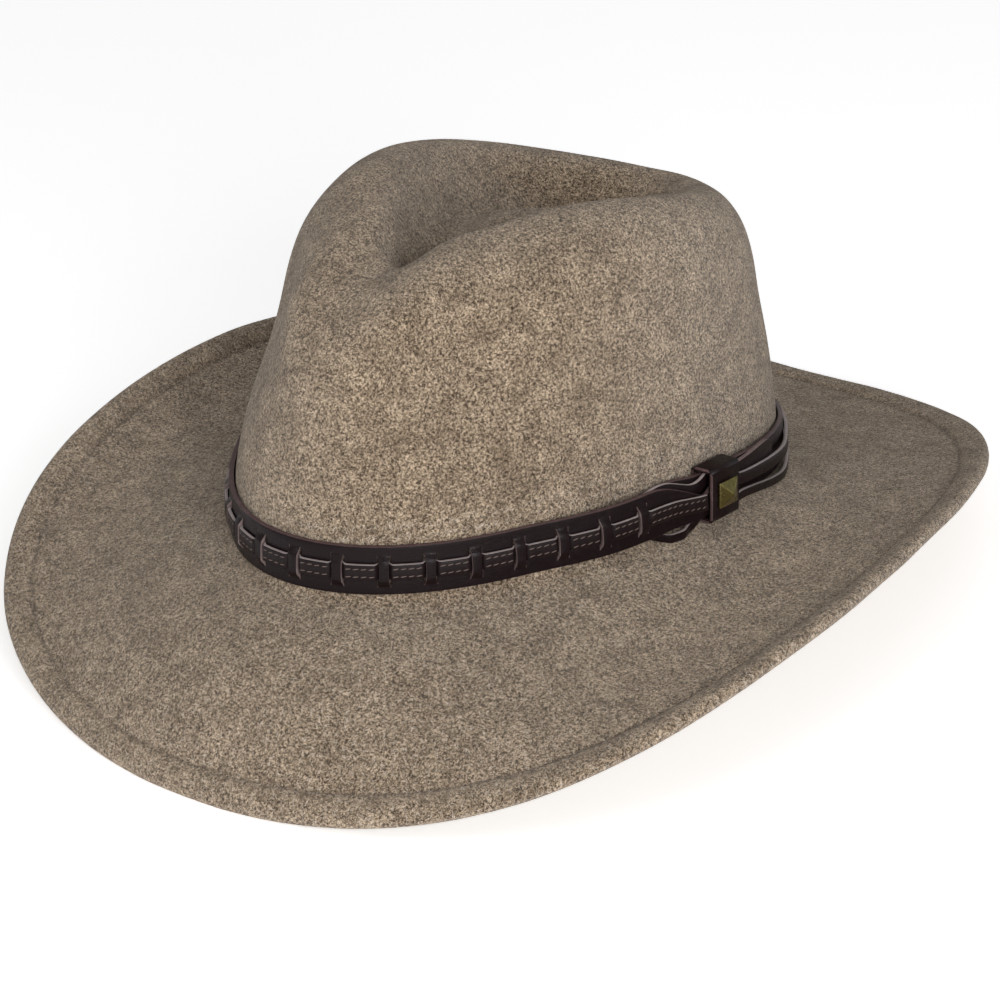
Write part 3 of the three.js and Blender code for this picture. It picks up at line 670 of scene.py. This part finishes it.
# the band: lengths in millimetres, angles in degrees; the strap runs from its tip, right of the
# keeper, over the front and round the back to its plain end under the tip
band = {
    "height": 15.5, "foot": 3.4, "wall": 1.5, "gap": 0.35, "feltGap": 0.6,
    "pitch": 14.0, "bridge": 2.7, "slit": 0.7, "slitHeight": 10.5, "slitEnd": 0.25,
    "slitCurve": 0.8, "bulgeEase": 2.4, "weaveStart": 75, "weaveStop": -194, "plainEnd": -280.3,
    "tip": 112, "tipRound": 6.0, "tipPoint": 0.985, "rampStart": 52, "rampEnd": 72,
    "swapStart": 90.2, "swapEnd": 93.2, "swapBack": 114, "swapGone": 130, "layEnd": 140,
    "step": 1.3, "edgeRound": 0.24, "roundSegments": 2,
    # where the mesh has rows: back from the tip, up from the edge and up from a slit's end
    "tipSteps": (0, 0.08, 0.25, 0.5, 0.9, 1.5, 2.2, 3.1, 4.2), "edgeRows": (0, 0.8, 1.7),
    "slitRows": (0, 0.35, 0.8, 1.4, 2.0, 2.7, 3.8),
    # angle, height and middle as shares of the band's height
    "tongueRows": ((74, 1, 0.5), (78, 1, 0.5), (80.5, 0.93, 0.475), (83, 0.8, 0.42),
                   (85.5, 0.65, 0.35), (88.4, 0.45, 0.29), (90.2, 0.45, 0.419),
                   (93.2, 0.45, 0.419), (98, 0.47, 0.565), (102.5, 0.47, 0.61),
                   (108, 0.47, 0.665), (112, 0.47, 0.68)),
    "plainRows": ((79.7, 0.66, 0.5), (80.2, 0.8, 0.5), (81.2, 0.87, 0.5), (84, 0.9, 0.48),
                  (88, 0.9, 0.43), (97, 0.9, 0.42), (106, 0.9, 0.38), (120, 0.9, 0.36),
                  (150, 0.92, 0.42), (175, 1, 0.5)),
}
lace = {"height": 5.2, "wall": 1.1, "follow": 0.45, "step": 0.6, "corner": 0.2,
        "diveStart": 0.3, "dive": 0.7, "endGaps": 3}
tails = {
    "upper": 4.0, "lower": 3.0, "wall": 1.3, "bow": 2.1, "root": 150, "end": 74, "step": 1.2,
    "corner": 0.24, "bowOut": (79, 81.2), "bowBack": (83.4, 85.8),
    # angle, middle of the upper and of the lower strip as shares of the band's height
    "rows": ((74, 0.72, 0.24), (77, 0.83, 0.02), (79.3, 0.88, -0.13), (81.5, 0.86, -0.19),
             (84, 0.76, -0.18), (86.4, 0.67, -0.11), (88.4, 0.7, 0.065), (90.2, 0.797, 0.065),
             (93.2, 0.797, 0.065), (96.6, 0.55, 0.1), (99, 0.48, 0.11), (104, 0.44, 0.035),
             (110, 0.4, -0.075), (116, 0.375, -0.14), (121, 0.38, -0.13), (128, 0.41, -0.04),
             (136, 0.46, 0.07), (150, 0.56, 0.2)),
}
loop = {"angle": 92.35, "width": 14.2, "height": 18.4, "rise": 6.7, "wall": 1.2, "clear": 0.5,
        "corner": 2.0, "rimRound": 0.34, "flat": 0.6, "ease": 1.5,
        "outerSegments": 7, "innerSegments": 4, "rimSegments": 3}


def bandPoint(angle, height, out):
    # a point on the band's seat round the crown, at a height above its lower edge, off the felt
    up = (band["foot"] + height) / (hat["crownHeight"] * hatCurve["ridge"](angle))
    rows = ((0, 0),) + hat["side"]
    after = max(next(i for i, row in enumerate(rows) if row[0] > up), 1)
    share = (up - rows[after - 1][0]) / (rows[after][0] - rows[after - 1][0])
    inward = mix(rows[after - 1][1], rows[after][1], share)
    foot = ovalPoint(angle)
    reach = 1 - (1 - hatCurve["reach"](angle)) * inward
    seat = Vector((foot.x * reach, foot.y * reach, foot.z + band["foot"] + height))
    return seat + outward(angle) * out


def between(rows, column, angle):
    # a value between the rows of a table, without kinks
    degrees, last = math.degrees(angle), len(rows) - 1
    after = max(next((i for i, row in enumerate(rows) if row[0] >= degrees), last), 1)

    def slope(i):
        first, second = rows[max(i - 1, 0)], rows[min(i + 1, last)]
        return (second[column] - first[column]) / (second[0] - first[0])

    span = rows[after][0] - rows[after - 1][0]
    share = min(max((degrees - rows[after - 1][0]) / span, 0.0), 1.0)
    line = mix(rows[after - 1][column], rows[after][column], ease(share, 0, 1))
    bow = slope(after - 1) * (1 - share) - slope(after) * share
    return line + span * share * (1 - share) * bow


keeperMiddle = math.radians(loop["angle"])
keeperReach = walk(keeperMiddle, loop["width"] / 2) - keeperMiddle
keeperFlat = walk(keeperMiddle, loop["flat"] * loop["width"]) - keeperMiddle
keeperEase = walk(keeperMiddle, loop["ease"] * loop["width"]) - keeperMiddle
tongueTip = math.radians(band["tip"])


def underBase(angle):
    # how far off the felt the lowest layer lies; it makes room for the keeper's inner wall
    past = angle - keeperMiddle
    far = keeperEase if past < 0 else math.radians(band["layEnd"]) - keeperMiddle
    return band["feltGap"] + (loop["wall"] + loop["clear"]) * (1 - ease(abs(past), keeperFlat, far))


def swapped(angle):
    # in the keeper the strap's tip passes inwards between the two strips
    degrees = math.degrees(angle)
    return (ease(degrees, band["swapStart"], band["swapEnd"])
            * (1 - ease(degrees, band["swapBack"], band["swapGone"])))


def tailBase(which, angle):
    degrees = math.degrees(angle)
    bow = ease(degrees, *tails["bowOut"]) * (1 - ease(degrees, *tails["bowBack"]))
    layer = band["wall"] + band["gap"]
    base = underBase(angle) + layer * (1 + swapped(angle))
    return base + (tails["bow"] * bow if which == "lower" else 0)


def strapBase(angle):
    if angle < -math.pi:
        return underBase(angle + 2 * math.pi)
    inner = underBase(angle) + band["wall"] + band["gap"]
    outer = inner + (tails["wall"] + band["gap"]) * (1 - swapped(min(angle, tongueTip)))
    ramp = ease(math.degrees(angle), band["rampStart"], band["rampEnd"])
    return mix(band["feltGap"], outer, ramp)


def strapHeight(angle):
    # past the back the strap is the plain end, which lies under its own tip
    if angle < -math.pi:
        return band["height"] * between(band["plainRows"], 1, angle + 2 * math.pi)
    toTip = (tongueTip - angle) / (walk(tongueTip, band["tipRound"]) - tongueTip)
    rounded = math.sqrt(1 - max(band["tipPoint"] - toTip, 0) ** 2)
    return band["height"] * between(band["tongueRows"], 1, angle) * rounded


def strapMiddle(angle):
    if angle < -math.pi:
        return band["height"] * between(band["plainRows"], 2, angle + 2 * math.pi)
    return band["height"] * between(band["tongueRows"], 2, angle)


bridgeAngles = [math.radians(band["weaveStart"])]
while bridgeAngles[-1] > math.radians(band["weaveStop"]):
    bridgeAngles.append(walk(bridgeAngles[-1], -band["pitch"]))


def slitOpen(height):
    # a slit is widest where the lace passes and closes towards its ends
    low = (band["height"] - band["slitHeight"]) / 2
    share = min(max((height - low) / band["slitHeight"], 0.0), 1.0)
    return mix(band["slitEnd"], band["slit"], math.sin(math.pi * share) ** band["slitCurve"])


def strapStations(half):
    # the strap's columns: angle, what follows it, and the middle of its bridge
    cells = [(walk(tongueTip, -distance), "plain", None) for distance in band["tipSteps"]]
    for middle in bridgeAngles:
        for distance, kind in ((half + band["slit"], "slit"), (half, "bridge"), (-half, "slit"),
                               (-half - band["slit"], "plain")):
            cells.append((walk(middle, distance), kind, middle))
    cells.append((math.radians(band["plainEnd"]), "none", None))
    stations = []
    for (start, kind, middle), (stop, _, _) in zip(cells, cells[1:]):
        length = (start - stop) * math.hypot(*ovalSpeed(start))
        count = max(round(length / band["step"]), 1)
        stations += [(mix(start, stop, i / count), kind, middle) for i in range(count)]
    return stations + [cells[-1]]


def buildStrap():
    half = band["bridge"] / 2
    stations = strapStations(half)
    low = (band["height"] - band["slitHeight"]) / 2
    heights = [*band["edgeRows"], *(low + h for h in band["slitRows"]), band["height"] / 2]
    heights += [band["height"] - h for h in reversed(heights[:-1])]
    bulge = lace["wall"] + band["gap"]
    bm = bmesh.new()
    turn = bm.verts.layers.float.new("turn")
    level = bm.verts.layers.float.new("level")
    order = bm.verts.layers.int.new("order")
    behind = bm.verts.layers.int.new("behind")

    def place(column, row):
        angle, kind, middle = stations[column]
        share = heights[row] / band["height"]
        base = strapBase(angle)
        if kind == "bridge" or (column > 0 and stations[column - 1][1] == "bridge"):
            inside = min(heights[row], band["height"] - heights[row])
            base += bulge * ease(inside, low, low + band["bulgeEase"])
            wide = half + band["slit"] - slitOpen(heights[row])
            angle = middle + (angle - middle) * wide / half
        height = strapMiddle(angle) + strapHeight(angle) * (share - 0.5)
        return bandPoint(angle, height, base + band["wall"])

    gridShape(bm, len(stations), len(heights), place,
              {turn: lambda column, row: stations[column][0],
               level: lambda column, row: heights[row] / band["height"],
               order: lambda column, row: column})
    nearly = 0.01  # as a share of the band's height
    lowShare, highShare = low / band["height"] - nearly, 1 - low / band["height"] + nearly
    holes = []
    for face in bm.faces:
        column = min(v[order] for v in face.verts)
        levels = [v[level] for v in face.verts]
        if stations[column][1] == "slit" and min(levels) > lowShare and max(levels) < highShare:
            holes.append(face)
    bmesh.ops.delete(bm, geom=holes, context="FACES")
    grown = bmesh.ops.extrude_face_region(bm, geom=bm.faces[:], use_keep_orig=True)
    for vert in (g for g in grown["geom"] if isinstance(g, bmesh.types.BMVert)):
        vert.co -= outward(vert[turn]) * band["wall"] * mm
        vert[behind] = 1
    bmesh.ops.recalc_face_normals(bm, faces=bm.faces)
    # long edges are dressed; slits, ends and what lies past the keeper show the cut hide
    for face in bm.faces:
        if len({v[behind] for v in face.verts}) == 2:
            middle = sum(v[level] for v in face.verts) / len(face.verts)
            along = middle > 1 - nearly or middle < nearly
            dressed = along and min(v[turn] for v in face.verts) < keeperMiddle
            face.material_index = 2 if dressed else 1
    # every rounded edge takes the dressed hide, paler than the strap: partly the dressed edge's own
    # colour, partly a painted highlight along the rounding
    sharp = [e for e in bm.edges if len(e.link_faces) == 2 and e.calc_face_angle() > sharpTurn]
    bmesh.ops.bevel(bm, geom=sharp, offset=band["edgeRound"] * mm,
                    segments=band["roundSegments"], profile=0.5, affect="EDGES", material=2,
                    clamp_overlap=True)
    # the lower edge takes the paler cut hide: partly the leather's own lighter edge, partly a
    # painted highlight along it
    for face in bm.faces:
        if face.material_index == 2 and max(v[level] for v in face.verts) < 5 * nearly:
            face.material_index = 1
    piece = newPiece("wovenStrap", bm, [strapHide, cutEdgeAndHighlight, dressedEdgeAndHighlight])
    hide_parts("hat_band")
    return piece


def buildStrip(name, node, materials, stations, corner):
    # a closed strip with rounded edges; a station is angle, low, high, base, wall
    section = []
    cornerReach, cutFrom = 0.1, 0.06  # how far the level runs on at a corner; where cut hide starts
    for level, depth, start in ((1, 1, 0), (1, 0, 90), (0, 0, 180), (0, 1, 270)):
        for part in (0, 0.5, 1):
            section.append((level, depth, math.radians(start + 90 * part)))
    section.append(section[0])
    bm = bmesh.new()
    levelLayer = bm.verts.layers.float.new("level")

    def place(column, row):
        angle, low, high, base, wall = stations[column]
        level, depth, turn = section[row]
        height = mix(low + corner, high - corner, level) + corner * math.sin(turn)
        out = mix(base + corner, base + wall - corner, depth) + corner * math.cos(turn)
        return bandPoint(angle, height, out)

    def levelAt(column, row):
        level, _, turn = section[row]
        return level + cornerReach * math.sin(turn)

    gridShape(bm, len(stations), len(section), place, {levelLayer: levelAt})
    bmesh.ops.remove_doubles(bm, verts=bm.verts, dist=1e-6)
    bmesh.ops.holes_fill(bm, edges=[e for e in bm.edges if e.is_boundary], sides=0)
    bmesh.ops.recalc_face_normals(bm, faces=bm.faces)
    for face in bm.faces:
        levels = [v[levelLayer] for v in face.verts]
        if min(levels) > 1 + cutFrom or max(levels) < -cutFrom or len(face.verts) > 4:
            face.material_index = 1
    piece = newPiece(name, bm, materials)
    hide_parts(node)
    return piece


def laceOver(angle):
    return strapBase(angle) + band["wall"] + band["gap"]


def laceMiddle(angle):
    return mix(band["height"] / 2, strapMiddle(angle), lace["follow"])


def buildLace():
    half, slit = band["bridge"] / 2, band["slit"]
    stop = walk(bridgeAngles[-1], -band["pitch"] / 2)
    stations, angle = [], walk(keeperMiddle - keeperReach, -lace["endGaps"] * band["gap"])
    while angle > stop:
        near = min(bridgeAngles, key=lambda a: abs(a - angle))
        away = abs(angle - near) * math.hypot(*ovalSpeed(near))
        over = ease(away, half - lace["diveStart"], half + slit + lace["dive"])
        base = mix(strapBase(angle), laceOver(angle), over)
        low = laceMiddle(angle) - lace["height"] / 2
        stations.append((angle, low, low + lace["height"], base, lace["wall"]))
        angle = walk(angle, -lace["step"])
    return buildStrip("wovenLace", "woven_lace", [laceHide, laceEdge], stations,
                      lace["corner"])


def buildTail(name, node, which, column):
    stations, height = [], tails[which]
    angle, root = math.radians(tails["end"]), math.radians(tails["root"])
    while angle < root:
        low = band["height"] * between(tails["rows"], column, angle) - height / 2
        stations.append((angle, low, low + height, tailBase(which, angle), tails["wall"]))
        angle = walk(angle, tails["step"])
    return buildStrip(name, node, [strapHide, laceEdge], stations,
                      tails["corner"])


def bandFrame(angle, height, out):
    # a matrix at a place on the band: x along it, y up, z out
    near = 0.02  # radians to each side
    along = bandPoint(angle - near, height, out) - bandPoint(angle + near, height, out)
    along.normalize()
    away = outward(angle)
    away = (away - along * away.dot(along)).normalized()
    up = away.cross(along)
    turn = Matrix((along, up, away)).transposed().to_4x4()
    return Matrix.Translation((bandPoint(angle, height, out) + shift) * mm) @ turn


# two rows of stitches on each stretch of lace, in millimetres
stitch = {"pitch": 2.15, "lengthShare": 0.4, "radius": 0.2, "thick": 0.16, "lift": 0.04,
          "tilt": 0.16, "rows": (0.74, 0.26), "clear": 0.3, "keeperClear": 1, "sides": (8, 6)}


def buildStitches():
    half = band["bridge"] / 2 + band["slit"] + stitch["clear"]
    keeperSide = keeperMiddle - keeperReach - math.radians(stitch["keeperClear"])
    spans = [(keeperSide, walk(bridgeAngles[0], half))]
    spans += [(walk(a, -half), walk(b, half)) for a, b in zip(bridgeAngles, bridgeAngles[1:])]
    tilt = Matrix.Rotation(stitch["tilt"], 4, "Z")
    lay = Matrix.Rotation(math.pi / 2, 4, "Y")
    around, along = stitch["sides"]
    bm = bmesh.new()
    for start, stop in spans:
        length = (start - stop) * math.hypot(*ovalSpeed((start + stop) / 2))
        count = max(round(length / stitch["pitch"]), 1)
        size = Matrix.Diagonal((length / count * stitch["lengthShare"] * mm,
                                stitch["radius"] * mm, stitch["thick"] * mm, 1))
        for row in stitch["rows"]:
            for i in range(count):
                angle = mix(start, stop, (i + 0.5) / count)
                height = laceMiddle(angle) + lace["height"] * (row - 0.5)
                seat = bandFrame(angle, height, laceOver(angle) + lace["wall"] + stitch["lift"])
                bmesh.ops.create_uvsphere(bm, u_segments=around, v_segments=along, radius=1,
                                          matrix=seat @ tilt @ size @ lay)
    bmesh.ops.recalc_face_normals(bm, faces=bm.faces)
    piece = newPiece("laceStitches", bm, [thread])
    return piece


def keeperSeat():
    # the keeper's own axes: x out from the felt, y up, z along the band
    origin = bandPoint(keeperMiddle, loop["rise"], 0)
    along = (bandPoint(keeperMiddle - keeperReach, loop["rise"], 0)
             - bandPoint(keeperMiddle + keeperReach, loop["rise"], 0)).normalized()
    rise = bandPoint(keeperMiddle, band["height"], 0) - bandPoint(keeperMiddle, 0, 0)
    out = rise.cross(along).normalized()
    up = along.cross(out)
    turn = Matrix((out, up, out.cross(up))).transposed().to_4x4()
    return Matrix.Translation((origin + shift) * mm) @ turn


keeperOuter = (band["feltGap"] + 2 * loop["wall"] + 2 * band["wall"] + tails["wall"]
               + 2 * (band["gap"] + loop["clear"]))


def buildKeeper():
    half, near = loop["width"] / 2, 0.01
    deep = keeperOuter - band["feltGap"]
    bm = bmesh.new()
    bmesh.ops.create_grid(bm, x_segments=1, y_segments=1, size=0.5)
    for vert in bm.verts:
        vert.co.x = vert.co.x * deep + band["feltGap"] + deep / 2
        vert.co.y *= loop["height"]
        vert.co.z = -half
    bmesh.ops.inset_region(bm, faces=bm.faces[:], thickness=loop["wall"], use_boundary=True,
                           use_even_offset=True)
    inner = max(bm.faces, key=lambda f: len([e for e in f.edges if not e.is_boundary]))
    bmesh.ops.delete(bm, geom=[inner], context="FACES")
    grown = bmesh.ops.extrude_face_region(bm, geom=bm.faces[:], use_keep_orig=True)
    bmesh.ops.translate(bm, vec=(0, 0, loop["width"]),
                        verts=[g for g in grown["geom"] if isinstance(g, bmesh.types.BMVert)])
    for face in bm.faces:
        face.material_index = 1 if abs(face.calc_center_median().z) > half - near else 0
    bmesh.ops.recalc_face_normals(bm, faces=bm.faces)

    def roundEdges(edges, offset, segments, material):
        bmesh.ops.bevel(bm, geom=edges, offset=offset, segments=segments, profile=0.5,
                        affect="EDGES", material=material)

    def alongKeeper():
        return [e for e in bm.edges if abs(e.verts[0].co.z - e.verts[1].co.z) > 1]

    wallMiddle = loop["height"] / 2 - loop["wall"] / 2
    outside = [e for e in alongKeeper() if abs(e.verts[0].co.y) > wallMiddle]
    roundEdges(outside, loop["corner"], loop["outerSegments"], -1)
    inside = [e for e in alongKeeper()
              if abs(abs(e.verts[0].co.y) - loop["height"] / 2 + loop["wall"]) < near
              and e.calc_face_angle() > sharpTurn]
    roundEdges(inside, loop["corner"] - loop["wall"], loop["innerSegments"], -1)
    rims = [e for e in bm.edges if len(e.link_faces) == 2
            and e.link_faces[0].material_index != e.link_faces[1].material_index]
    roundEdges(rims, loop["rimRound"], loop["rimSegments"], 1)
    bmesh.ops.transform(bm, matrix=keeperSeat() @ Matrix.Scale(mm, 4), verts=bm.verts)
    bmesh.ops.recalc_face_normals(bm, faces=bm.faces)
    piece = newPiece("strapKeeper", bm, [keeperHide, dressedEdgeAndHighlight])
    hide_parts("keeper")
    return piece


# the pyramid stud on the keeper, in millimetres
stud = {"width": 9.2, "height": 8.6, "depth": 3.0, "rim": 0.84, "edgeRound": 0.2,
        "roundSegments": 2, "sharpTurn": 0.3}


def buildStud():
    bm = bmesh.new()
    made = bmesh.ops.create_grid(bm, x_segments=1, y_segments=1, size=0.5)
    bmesh.ops.scale(bm, vec=(stud["height"], stud["width"], 1), verts=made["verts"])
    raised = bmesh.ops.extrude_face_region(bm, geom=bm.faces[:], use_keep_orig=True)
    top = [g for g in raised["geom"] if isinstance(g, bmesh.types.BMFace)]
    bmesh.ops.translate(bm, vec=(0, 0, stud["rim"]), verts=top[0].verts)
    poked = bmesh.ops.poke(bm, faces=top)
    bmesh.ops.translate(bm, vec=(0, 0, stud["depth"] - stud["rim"]), verts=poked["verts"])
    bmesh.ops.recalc_face_normals(bm, faces=bm.faces)
    sharp = [e for e in bm.edges if e.calc_face_angle() > stud["sharpTurn"]]
    bmesh.ops.bevel(bm, geom=sharp, offset=stud["edgeRound"], segments=stud["roundSegments"],
                    profile=0.5, affect="EDGES", material=-1)
    # its face turns from up to out from the keeper
    lay = Matrix(((0, 0, 1, 0), (1, 0, 0, 0), (0, 1, 0, 0), (0, 0, 0, 1)))
    lay = Matrix.Translation((keeperOuter + band["gap"], 0, 0)) @ lay
    bmesh.ops.transform(bm, matrix=keeperSeat() @ Matrix.Scale(mm, 4) @ lay, verts=bm.verts)
    bmesh.ops.recalc_face_normals(bm, faces=bm.faces)
    piece = newPiece("pyramidStud", bm, [brass], smooth=False)
    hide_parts("pyramid_stud")
    return piece


wovenStrap = buildStrap()
wovenLace = buildLace()
upperTail = buildTail("upperTail", "split_tail_upper", "upper", 1)
lowerTail = buildTail("lowerTail", "split_tail_lower", "lower", 2)
laceStitches = buildStitches()
strapKeeper = buildKeeper()
pyramidStud = buildStud()
for piece in (wovenStrap, wovenLace, upperTail, lowerTail, laceStitches, strapKeeper, pyramidStud):
    print("band piece", piece.name, len(piece.data.polygons))

# camera at the photograph's angle: azimuth from the front towards the wearer's left
view = {"azimuth": 38.05, "elevation": 27.28, "roll": -2.6, "target": (0.0, -10.6, 25.3),
        "distance": 950.0, "pixelsPerMm": 2.965, "frameWidth": 1000, "sensor": 36,
        "clip": (0.05, 50)}


def placeCamera():
    a, e, roll = (math.radians(view[k]) for k in ("azimuth", "elevation", "roll"))
    right = Vector((math.cos(a), math.sin(a), 0))
    back = Vector((math.sin(a) * math.cos(e), -math.cos(a) * math.cos(e), math.sin(e)))
    up = back.cross(right)
    rolledRight = right * math.cos(roll) + up * math.sin(roll)
    rolledUp = up * math.cos(roll) - right * math.sin(roll)
    data = bpy.data.cameras.new("photoView")
    data.sensor_width = view["sensor"]
    data.lens = view["pixelsPerMm"] * view["distance"] / view["frameWidth"] * view["sensor"]
    data.clip_start, data.clip_end = view["clip"]
    camera = bpy.data.objects.new("photoView", data)
    spot = (Vector(view["target"]) + back * view["distance"]) * mm
    turn = Matrix((rolledRight, rolledUp, back)).transposed().to_4x4()
    camera.matrix_world = Matrix.Translation(spot) @ turn
    bpy.context.scene.collection.objects.link(camera)
    bpy.context.scene.camera = camera


placeCamera()

# a plain pale room: floor, big soft lamps and sky; a lamp is name, place, size and power
room = {"floorHalf": 6.0, "floorTone": 0.92, "floorRoughness": 0.9, "floorGlow": 0.5,
        "floorBelow": 0.0002, "skyStrength": 0.34, "aim": (0, 0, 0.05),
        "lamps": (("keyLight", (1.0, -0.8, 0.55), 0.55, 10.4),
                  ("fillLight", (-0.2, -1.35, 1.35), 0.8, 4.3),
                  ("topLight", (0.2, 0.6, 1.9), 1.2, 2.3))}


def buildFloor():
    bm = bmesh.new()
    bmesh.ops.create_grid(bm, x_segments=1, y_segments=1, size=room["floorHalf"])
    mesh = bpy.data.meshes.new("paleFloor")
    bm.to_mesh(mesh)
    bm.free()
    material, _, shader = makeMaterial("paleFloor")
    tone = room["floorTone"]
    shader.inputs["Base Color"].default_value = (tone, tone, tone, 1)
    shader.inputs["Roughness"].default_value = room["floorRoughness"]
    shader.inputs["Emission Color"].default_value = (1, 1, 1, 1)
    shader.inputs["Emission Strength"].default_value = room["floorGlow"]
    mesh.materials.append(material)
    floor = bpy.data.objects.new("paleFloor", mesh)
    floor.location.z = -room["floorBelow"]
    bpy.context.scene.collection.objects.link(floor)


def addLamp(name, place, size, power):
    data = bpy.data.lights.new(name, "AREA")
    data.shape = "SQUARE"
    data.size = size
    data.energy = power
    lamp = bpy.data.objects.new(name, data)
    lamp.location = place
    away = Vector(room["aim"]) - Vector(place)
    lamp.rotation_euler = away.to_track_quat("-Z", "Y").to_euler()
    bpy.context.scene.collection.objects.link(lamp)


def lightSky():
    world = bpy.data.worlds.new("softRoom")
    bpy.context.scene.world = world
    world.use_nodes = True
    sky = world.node_tree.nodes["Background"]
    sky.inputs["Color"].default_value = (1, 1, 1, 1)
    sky.inputs["Strength"].default_value = room["skyStrength"]


buildFloor()
for lampRow in room["lamps"]:
    addLamp(*lampRow)
lightSky()
bpy.context.scene.view_settings.view_transform = "Standard"
print("camera, floor and lights placed")
